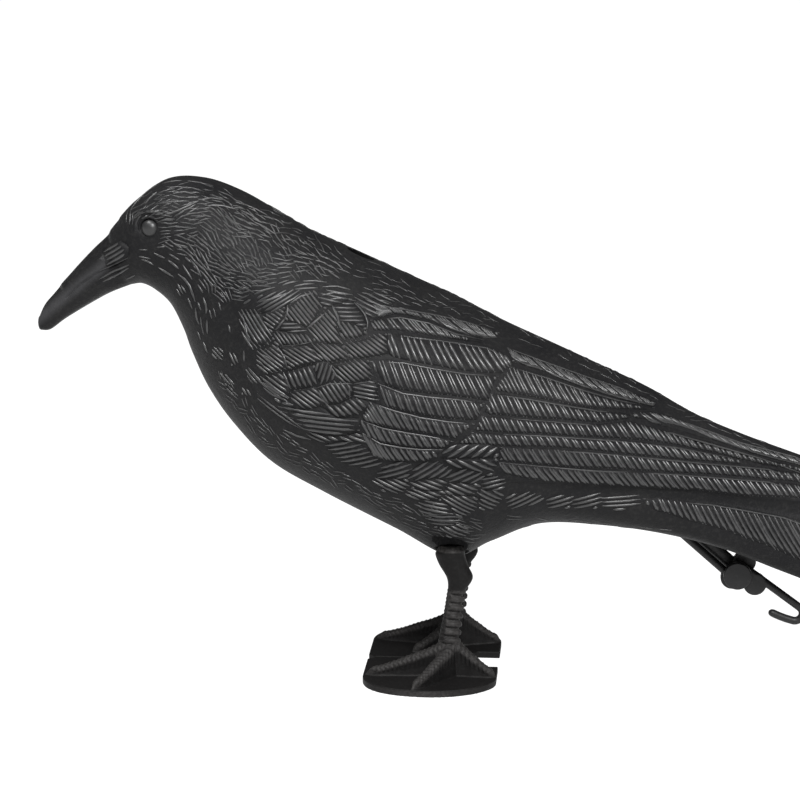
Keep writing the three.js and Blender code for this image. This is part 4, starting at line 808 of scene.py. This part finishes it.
def patch(outline, heading, spacing, height=LEAF_RISE):
    """A small feather with parallel barbs, on a low mound if it has any height."""
    outline = run_of([*outline, outline[0]], 25)[0][:-1]
    middle = outline.mean(0)
    outline = middle + (outline - middle) * 1.08
    size = np.hypot(*(outline - middle).T).mean() * SHARE / MM
    rings = [(1.0, -1.1), (1.0, -0.25), (max(0.4, 1 - 0.5 / size), 0.76 * height), (0.5, height)]
    if height:
        levels = [(middle + (outline - middle) * share, np.full(24, rise)) for share, rise in rings]
        shingle([np.column_stack(level) for level in levels])
    along_it = heading_of(heading)
    across = np.array([-along_it[1], along_it[0]])
    reach = np.abs((outline - middle) @ along_it).max() + 0.4
    half = np.abs((outline - middle) @ across).max()
    step = spacing * MM / SHARE
    spill = SPILL if height == LEAF_RISE else 0
    paths = [
        barb_path(middle + across * offset - along_it * (reach + spill), heading, 2 * (reach + spill), 4)
        for offset in np.arange(-half - spill + step * 0.4, half + spill, step)
    ]
    spots = np.concatenate(paths)
    own = beyond(spots, outline)
    within = own < spill
    if spill:
        for other in NEIGHBOURS:
            apart = np.hypot(*(other.mean(0) - middle))
            if 0.5 < apart < 2.6 + np.ptp(other[:, 0]) / 2 + half:
                within &= own < beyond(spots, other) - 0.05
    for path, kept in zip(paths, within.reshape(len(paths), -1)):
        barb(path, kept, LEAF_GIRTH * spacing)


def tufts(outline, gap, count, length, girth, scatter):
    """Tufts of short strokes spread over a region, each turned into the flow of the feathers."""
    outline = np.array(outline)
    low, high = outline.min(0), outline.max(0)
    tries = dice.uniform(low, high, (int(np.prod(high - low) / gap**2 * 14), 2))
    kept = []
    for spot in tries[inside(tries, outline)]:
        if kept and np.hypot(*(np.array(kept) - spot).T).min() < gap:
            continue
        kept.append(spot)
        weight = 1 / (((FLOW[:, :2] - spot) ** 2).sum(1) + 0.4) ** 1.5
        angle = np.radians(FLOW[:, 2])
        heading = math.degrees(math.atan2((weight * np.sin(angle)).sum(), (weight * np.cos(angle)).sum()))
        heading += dice.normal(0, scatter)
        for place in np.arange(count) - (count - 1) / 2:
            along_it = heading_of(heading - place * 5)
            across = np.array([-along_it[1], along_it[0]])
            half = length * dice.uniform(0.38, 0.58)
            middle = spot + across * place * 0.43 + along_it * dice.uniform(-0.25, 0.25)
            bend = across * dice.uniform(-0.05, 0.05) * length
            path = middle + np.outer((-half, 0, half), along_it) + np.outer((0, 1, 0), bend)
            strokes.append((path, girth * dice.uniform(0.85, 1.2)))


# Barbs of small feathers run on to their neighbours' by up to this many hundredths.
SPILL = 0.6
NEIGHBOURS = [np.array(outline) for outline, heading, spacing in PATCHES]
NEIGHBOURS += [np.array([*top, *foot[::-1]]) for top, foot, *rest in VANES]
for feather in VANES:
    vane(*feather)
for feather in PATCHES:
    patch(*feather)
for feather in LOOSE:
    patch(*feather, height=0)
patch(BRISTLES, 33, 1.75, 1.3)
for girth, lines in LINES.items():
    strokes += [(np.array(line, float), girth) for line in lines]
for region in TUFTS:
    tufts(*region)


def turned(name, profile, middle, yaw):
    """A closed form turned about the eye's axis, from rows of radius and height in mm, top first."""
    around = turns(48)
    rings = [
        np.stack([radius * np.cos(around), np.full(48, -height), radius * np.sin(around)], axis=-1) * MM
        for radius, height in profile
    ]
    form = closed_loft(rings, name)
    form.data.transform(Matrix.Translation(middle) @ Matrix.Rotation(yaw, 4, "Z"))
    return out_facing(form)


def tree_on_skin(name, *more):
    """A Geometry Nodes tree with named inputs that casts the drawing onto the skin at one side of the
    bird: its graph, the readings of its inputs, what missed, and the spots and normals of the hits."""
    tree = bpy.data.node_groups.new(name, "GeometryNodeTree")
    tree.interface.new_socket("Geometry", in_out="OUTPUT", socket_type="NodeSocketGeometry")
    inputs = (("Geometry", "Geometry"), ("Skin", "Object"), ("Side", "Float"), ("Plastic", "Material"))
    for label, kind in (*inputs, *more):
        tree.interface.new_socket(label, in_out="INPUT", socket_type="NodeSocket" + kind)
    graph = Graph(tree)
    source = tree.nodes.new("NodeGroupInput")
    given = {socket.name: Reading(graph, socket) for socket in source.outputs if socket.name}
    skin = graph.node("GeometryNodeObjectInfo", {"transform_space": "RELATIVE"}, {"Object": given["Skin"]},
                      "Geometry")
    outside = graph.node("ShaderNodeCombineXYZ", {}, {"Y": given["Side"] * ASIDE})
    place = graph.node("GeometryNodeInputPosition")
    start = graph.node("ShaderNodeVectorMath", {"operation": "ADD"}, {0: place, 1: outside})
    inward = graph.node("ShaderNodeCombineXYZ", {}, {"Y": given["Side"] * -1.0})
    hit = graph.node("GeometryNodeRaycast", {}, {
        "Target Geometry": skin, "Source Position": start, "Ray Direction": inward, "Ray Length": ASIDE,
    }, "Is Hit")
    missed = graph.node("FunctionNodeBooleanMath", {"operation": "NOT"}, {0: hit})
    found = hit.socket.node.outputs
    return graph, given, missed, Reading(graph, found["Hit Position"]), Reading(graph, found["Hit Normal"])


def end_tree(graph, given, geometry):
    real = graph.node("GeometryNodeRealizeInstances", {}, {"Geometry": geometry})
    named = graph.node("GeometryNodeSetMaterial", {}, {"Geometry": real, "Material": given["Plastic"]})
    graph.node("NodeGroupOutput", {}, {"Geometry": named})


def grown(piece, graph, values):
    """Runs a tree on a piece, its inputs set by their sockets' identifiers, and keeps a plain mesh."""
    step = piece.modifiers.new("tree", "NODES")
    step.node_group = graph.tree
    for socket in graph.tree.interface.items_tree:
        if socket.in_out == "INPUT" and socket.name in values:
            step[socket.identifier] = values[socket.name]
    return settle(piece)


ASIDE = 0.09  # where the rays start, beside the middle plane
shingles, given, missed, spot, normal = tree_on_skin("shingles_on_skin")
rise = shingles.node("GeometryNodeInputNamedAttribute", {"data_type": "FLOAT"}, {"Name": "rise"})
lift = shingles.node("ShaderNodeVectorMath", {"operation": "SCALE"}, {0: normal, "Scale": rise})
laid = shingles.node("ShaderNodeVectorMath", {"operation": "ADD"}, {0: spot, 1: lift})
forms = shingles.node("GeometryNodeDeleteGeometry", {"domain": "POINT"}, {
    "Geometry": given["Geometry"], "Selection": missed})
forms = shingles.node("GeometryNodeSetPosition", {}, {"Geometry": forms, "Position": laid})
end_tree(shingles, given, forms)

barbs, given, missed, spot, normal = tree_on_skin(
    "barbs_on_skin", ("Points per barb", "Int"), ("Crest", "Float"), ("Tip", "Float"))
lines = barbs.node("GeometryNodeMeshToCurve", {}, {"Mesh": given["Geometry"]})
lines = barbs.node("GeometryNodeResampleCurve", {"mode": "COUNT"}, {
    "Curve": lines, "Count": given["Points per barb"]})
lines = barbs.node("GeometryNodeDeleteGeometry", {"domain": "POINT"}, {
    "Geometry": lines, "Selection": missed})
lines = barbs.node("GeometryNodeSetCurveNormal", {"mode": "FREE"}, {"Curve": lines, "Normal": normal})
lines = barbs.node("GeometryNodeSetPosition", {}, {"Geometry": lines, "Position": spot})
girth = barbs.node("GeometryNodeInputNamedAttribute", {"data_type": "FLOAT"}, {"Name": "girth"})
factor = barbs.node("GeometryNodeSplineParameter", output="Factor")
to_end = factor.math("MINIMUM", factor, 1 - factor)
taper = factor.math("MINIMUM", to_end * 4 + given["Tip"], 1.0)
round_five = barbs.node("GeometryNodeCurvePrimitiveCircle", {"mode": "RADIUS"}, {
    "Resolution": 5, "Radius": 1.0})
flat = barbs.node("ShaderNodeCombineXYZ", {}, {"X": given["Crest"], "Y": 1.0, "Z": 1.0})
profile = barbs.node("GeometryNodeTransform", {}, {"Geometry": round_five, "Scale": flat})
tubes = barbs.node("GeometryNodeCurveToMesh", {}, {
    "Curve": lines, "Profile Curve": profile, "Scale": girth * taper, "Fill Caps": True})
tubes = barbs.node("GeometryNodeSetShadeSmooth", {}, {"Geometry": tubes, "Shade Smooth": True})
end_tree(barbs, given, tubes)


def drawn_flat(name, spots, edges, faces, values, attribute):
    """A flat drawing in the bird's middle plane, with one number for each of its points."""
    spots = np.asarray(spots, float)
    data = bpy.data.meshes.new(name)
    places = np.column_stack([spots[:, 0] * SHARE + LEG_X, np.zeros(len(spots)), spots[:, 1] * SHARE + BELLY])
    data.from_pydata(places.tolist(), edges, faces)
    data.attributes.new(attribute, "FLOAT", "POINT").data.foreach_set("value", np.asarray(values, np.float32))
    return placed(name, data)


spots = np.vstack(flat_spots)
line_spots = np.vstack([path for path, girth in strokes])
line_girths = np.concatenate([np.full(len(path), girth * MM) for path, girth in strokes])
line_edges, start = [], 0
for path, girth in strokes:
    line_edges += [(start + k, start + k + 1) for k in range(len(path) - 1)]
    start += len(path)

EYE_DOME = [(0.3, 2.2), (1.4, 2.05), (2.5, 1.6), (3.3, 0.9), (3.65, 0.2), (3.65, -1.6)]
EYE_LID = [(3.95, -1.6), (4.05, 0.0), (4.4, 0.5), (4.8, 0.6), (5.3, 0.35), (5.6, -0.3), (5.6, -1.7)]
eye_plastic = plastic("eye_plastic", (0.014, 0.014, 0.0145), 0.44, 0.05, (0.02, 0.02, 0.02), 0.5)
# The barbs and strokes get a paler plastic than the body, a painted highlight along their crests.
crest_plastic_painted_highlight = plastic("crest_plastic_painted_highlight", (0.016, 0.016, 0.0165), 0.36, 0.15, (0.045, 0.0445, 0.044), 0.62)
lids, feathered = [], []
for side, name in ((-1.0, "left"), (1.0, "right")):
    skin_hit = body.ray_cast(spot_at(*EYE, side * ASIDE), Vector((0, -side, 0)))[1]
    yaw = math.radians(-EYE_YAW) if side < 0 else math.radians(180 + EYE_YAW)
    finished(turned(f"{name}_eye", EYE_DOME, skin_hit, yaw), eye_plastic, "body_plastic")
    lids.append(turned(f"{name}_lid", EYE_LID, skin_hit, yaw))
    forms = drawn_flat(f"{name}_shingles", spots[:, :2], [], flat_faces, spots[:, 2] * MM, "rise")
    grown(forms, shingles, {"Skin": body, "Side": side, "Plastic": body_plastic})
    feathered.append(out_facing(forms))
    forms.data.shade_smooth()
body = joined("crow_body", [body, *feathered, *lids])
for side, name in ((-1.0, "left"), (1.0, "right")):
    piece = drawn_flat(f"{name}_barbs", line_spots, line_edges, [], line_girths, "girth")
    grown(piece, barbs, {"Skin": body, "Side": side, "Plastic": crest_plastic_painted_highlight,
                         "Points per barb": 5, "Crest": 0.85, "Tip": 0.3})
    finished(out_facing(piece), crest_plastic_painted_highlight, "body_plastic")
finished(body, body_plastic, "body_plastic", "body")


# The legs: one soft-plastic moulding each, a foot plate with four clawed toes on it, a scaled shank
# and a thigh whose tenon plugs into the belly. They are drawn in millimetres about the leg axis.
THIGH_TOP, ANKLE, PLATE = 61.0, 17.0, 3.0
SCUTES_FACE = 0.8  # radians from the tail round to the bird's side, where the middle of the scutes is
SCUTE_PITCH, SCALE_PITCH, TOE_SCALE_PITCH = 3.7, 1.85, 1.9
CLAW_SHARE = 0.16  # of a toe's reach
TOES = ((187, 38, ANKLE), (236, 29, ANKLE - 1), (143, 25, ANKLE - 1), (-12, 19, ANKLE + 1))


def foot_plate():
    """A bowed outer edge, a straight inner edge and a rear inner corner cut back, with rounded rims."""
    turn = np.linspace(0, 1, 24)[:, None]
    back = 1 - turn
    bezier = lambda a, b, c, d: back**3 * a + 3 * back**2 * turn * b + 3 * back * turn**2 * c + turn**3 * d
    front, rear, inner, outer, waist = -39.0, 19.0, 21.4, -25.0, -5.5
    outline = [np.array([(front, inner - 3)])]
    outline.append(bezier(*np.array([(front, waist), (front + 1, outer + 5), (-24, outer), (-10, outer)])))
    outline.append(bezier(*np.array([(-10, outer), (6, outer), (rear - 1, outer + 10), (rear, waist)]))[1:])
    outline.append(np.array([(rear, 11.4), (rear - 10, 11.4), (0, inner), (front + 3, inner)]))
    outline = np.concatenate(outline)
    lower = [(*point, 0.0) for point in outline]
    upper = [(*point, PLATE) for point in outline]
    count = len(outline)
    faces = [tuple(range(count))[::-1], tuple(range(count, 2 * count))]
    faces += [(k, (k + 1) % count, count + (k + 1) % count, count + k) for k in range(count)]
    return out_facing(mesh_piece("plate", np.array(lower + upper) * MM, faces))


def shank():
    """Scute plates up the outer rear of the shank and small scales round the rest, then the thigh."""
    angle = turns(48)
    plated = smooth((np.cos(angle + SCUTES_FACE) - 0.1) / 0.25)
    heel = THIGH_TOP - 20
    stops = []
    for height in np.arange(ANKLE - 6, heel, 0.2):
        share = min(max((height - ANKLE + 4) / (heel - ANKLE + 4), 0), 1)
        slant = height + 0.5 * np.sin(angle + SCUTES_FACE)
        scute = (slant - ANKLE + 4) / SCUTE_PITCH % 1
        plate = smooth(scute / 0.22) * smooth((1 - scute) / 0.5)
        small = 0.5 + 0.5 * math.cos(height * 2 * math.pi / SCALE_PITCH) * np.cos(8 * angle)
        inset = 1.5 * (1 - plate) * plated + 0.5 * (1 - small) * (1 - plated)
        stops.append((-2.4 + 3.8 * share, height, 4.2 + 1.1 * (1 - share) ** 2 - inset, 3.6 - inset))
    thigh = np.array([
        (1.4, heel, 3.8, 3.2), (2.6, heel + 3.5, 5.1, 3.6), (2.4, heel + 6.5, 5.9, 3.9),
        (0.0, heel + 11, 6.2, 4.1), (-1.5, heel + 15.5, 6.4, 5.0), (-1.1, THIGH_TOP - 2.6, 6.2, 5.1),
    ])
    stops += [tuple(row) for row in curve_through(thigh, np.linspace(0, len(thigh) - 1, 60))]
    stops += [(-1, THIGH_TOP - 2.2, 6, 4.9), (-1, THIGH_TOP - 0.4, 5.3, 3.5), (-1, THIGH_TOP, 5, 3.1)]
    rings = [
        np.stack([x + half * np.cos(angle), width * np.sin(angle), np.full(48, z)], axis=-1)
        for x, z, half, width in stops
    ]
    return out_facing(closed_loft(np.array(rings) * MM, "shank"))


def toe_drop(run, height):
    """How high a toe's axis is over the ground at a share of its reach."""
    return height + (PLATE + 0.4 - height) * run**0.8


def toe(heading, reach, height):
    """A scaly toe that comes down from the ankle, filled beneath to the plate, and its hooked claw."""
    out = heading_of(heading)
    angle = np.linspace(0, math.pi, 25)
    rings = []
    for run in np.linspace(0, 1, 120):
        pad = 0.5 - 0.5 * math.cos(run * 2 * math.pi * 3)
        size = 3.3 * (1 - 0.5 * run) * (0.92 + 0.08 * pad)
        drop = toe_drop(run, height)
        scales = 0.34 * math.cos(reach * run * 2 * math.pi / TOE_SCALE_PITCH) * np.cos(5 * angle)
        if run > 1 - CLAW_SHARE:
            hook = (run - (1 - CLAW_SHARE)) / CLAW_SHARE
            size = size * (1 - 0.85 * hook) + 0.3 * math.sin(hook * math.pi)
            drop += 0.9 * math.sin(hook * math.pi)
            scales = scales * (1 - hook)
        aside, up = (size + scales) * np.cos(angle), drop + (size + scales) * np.sin(angle)
        skirt = [(-size * 1.02, (drop + PLATE) / 2), (-size * 1.25, PLATE - 0.5)]
        profile = np.concatenate([np.stack([aside, up], -1), skirt, [(-a, z) for a, z in skirt[::-1]]])
        rings.append(np.stack([
            out[0] * reach * run - out[1] * profile[:, 0], out[1] * reach * run + out[0] * profile[:, 0],
            profile[:, 1]], axis=-1))
    return out_facing(closed_loft(np.array(rings) * MM, "toe"))


def paint_light_marks(leg):
    """Marks on a leg drawn about its axis where light is painted on its skin: painted shade on the thigh,
    left dark under the belly beside a paler shank that is palest on its scutes; painted top light along the
    toes; painted highlights round the thigh's shoulder and along the plate's front rim.
    """
    spots = np.zeros(len(leg.data.vertices) * 3)
    leg.data.vertices.foreach_get("co", spots)
    x, y, z = spots.reshape(-1, 3).T / MM
    # Painted shade on the thigh: the shank below it is painted paler, most where its scutes face.
    dust_and_painted_light_share = smooth((np.cos(np.arctan2(y, x + 0.5) + SCUTES_FACE) + 0.1) / 0.3)
    dust_and_painted_light_share = (0.3 + 0.7 * dust_and_painted_light_share) * smooth((z - ANKLE - 2) / 2) * smooth((THIGH_TOP - 19 - z) / 2)
    # Painted top light along the upper part of each toe.
    for heading, reach, height in TOES:
        out = heading_of(heading)
        run, aside = (x * out[0] + y * out[1]) / reach, np.abs(x * out[1] - y * out[0])
        painted_light_band = (run > -0.05) & (run < 1.03) & (aside < 4) & (z > PLATE + 0.4)
        over = z - toe_drop(np.clip(run, 0, 1), height)
        dust_and_painted_light_share = np.maximum(dust_and_painted_light_share, 0.75 * painted_light_band * (over < 4.5) * smooth((over + 0.9) / 1.2))
    # A painted highlight round the thigh's shoulder.
    dust_and_painted_light_share = np.maximum(dust_and_painted_light_share, 1.6 * smooth((z - THIGH_TOP + 3) / 0.8) * (z < THIGH_TOP + 0.2))
    # A painted highlight along the front of the plate's near rim.
    rim = (z < PLATE - 0.4) * (y < 0) * np.exp(-(((x + 11) / 16) ** 2))
    marks = leg.data.attributes.new("rubbed", "FLOAT", "POINT")
    marks.data.foreach_set("value", np.maximum(dust_and_painted_light_share, rim).astype(np.float32))


def fused(name, parts, grain):
    """Grows parts into one moulding with small fillets, by a fine voxel skin that is then relaxed."""
    whole = joined(name, parts)
    skin, relaxed = whole.modifiers.new("skin", "REMESH"), whole.modifiers.new("relaxed", "SMOOTH")
    skin.mode, skin.voxel_size, skin.use_smooth_shade = "VOXEL", grain * MM, True
    relaxed.factor, relaxed.iterations = 0.5, 1
    return settle(whole)


# The leg plastic's pale colour is what its painted light marks mix to.
leg_plastic = plastic("leg_plastic", (0.004, 0.0037, 0.0037), 0.6, 0.3, (0.045, 0.0425, 0.0415), 0.15, 0.9)
for side, name in ((-1, "left_leg"), (1, "right_leg")):
    tenon = oval_post("tenon", (0, TENON_IN, (THIGH_TOP + 6.5) * MM), 8 * MM, 5 * MM, 14 * MM)
    toes = [toe(*numbers) for numbers in TOES]
    leg = fused(f"{name}_moulding", [foot_plate(), shank(), tenon, *toes], 0.36)
    paint_light_marks(leg)
    flip = Matrix.Diagonal((1, -side, 1, 1))
    leg.data.transform(Matrix.Translation((LEG_X, side * LEG_ASIDE, 0)) @ flip)
    finished(out_facing(leg), leg_plastic, "leg_plastic", name)


# The hanging clip: two jaws that start in sockets under the tail root, a smooth pivot disc
# and a wire-like hook, all moulded in plain black plastic. Millimetres in the row frame.
clip_plastic = plastic("clip_plastic", (0.0075, 0.0075, 0.008), 0.45, 0.2, (0.014, 0.014, 0.014))
HOOK_SLOPE, HOOK_REACH, BEND_RADIUS, PIVOT_DISC = 36, 22, 3.4, 12.2
hook_down, hook_up = down_at(HOOK_SLOPE), up_from(HOOK_SLOPE)
hook_eye = lower_end + (DISC + GAP) * down_at(15)
hook_start = hook_eye + (DISC - ROD) / 2 * hook_up
bend_start = hook_start + HOOK_REACH * hook_down
bend_middle = bend_start - BEND_RADIUS * hook_up
bend = [bend_middle + BEND_RADIUS * up_from(HOOK_SLOPE + turn) for turn in np.linspace(0, 162, 20)]
hook_path = [hook_start - 6 * hook_down, (hook_start + bend_start) / 2, *bend]
hook_path += [bend[-1] - run * down_at(18 + rise) for run, rise in (
    (3, -2), (6, 0), (9, 2), (9.8, 2), (10.4, 2), (10.8, 2), (11, 2))]
for name, parts in (
    ("clip_lower_jaw", [disc(lower_end), rod([lower_start, lower_end])]),
    ("clip_upper_jaw", [disc(upper_eye), rod([upper_start, upper_end], UPPER_DEPTH, ROD, layer)]),
    ("clip_pivot", [disc(lower_end + (2.2, 0, 1.8) - layer, PIVOT_DISC)]),
    ("clip_hook", [disc(hook_eye), rod(hook_path, tip=(0.9, 0.72, 0.48, 0.2))]),
):
    finished(fused(f"{name}_moulding", parts, 0.3), clip_plastic, "clip_plastic", name)
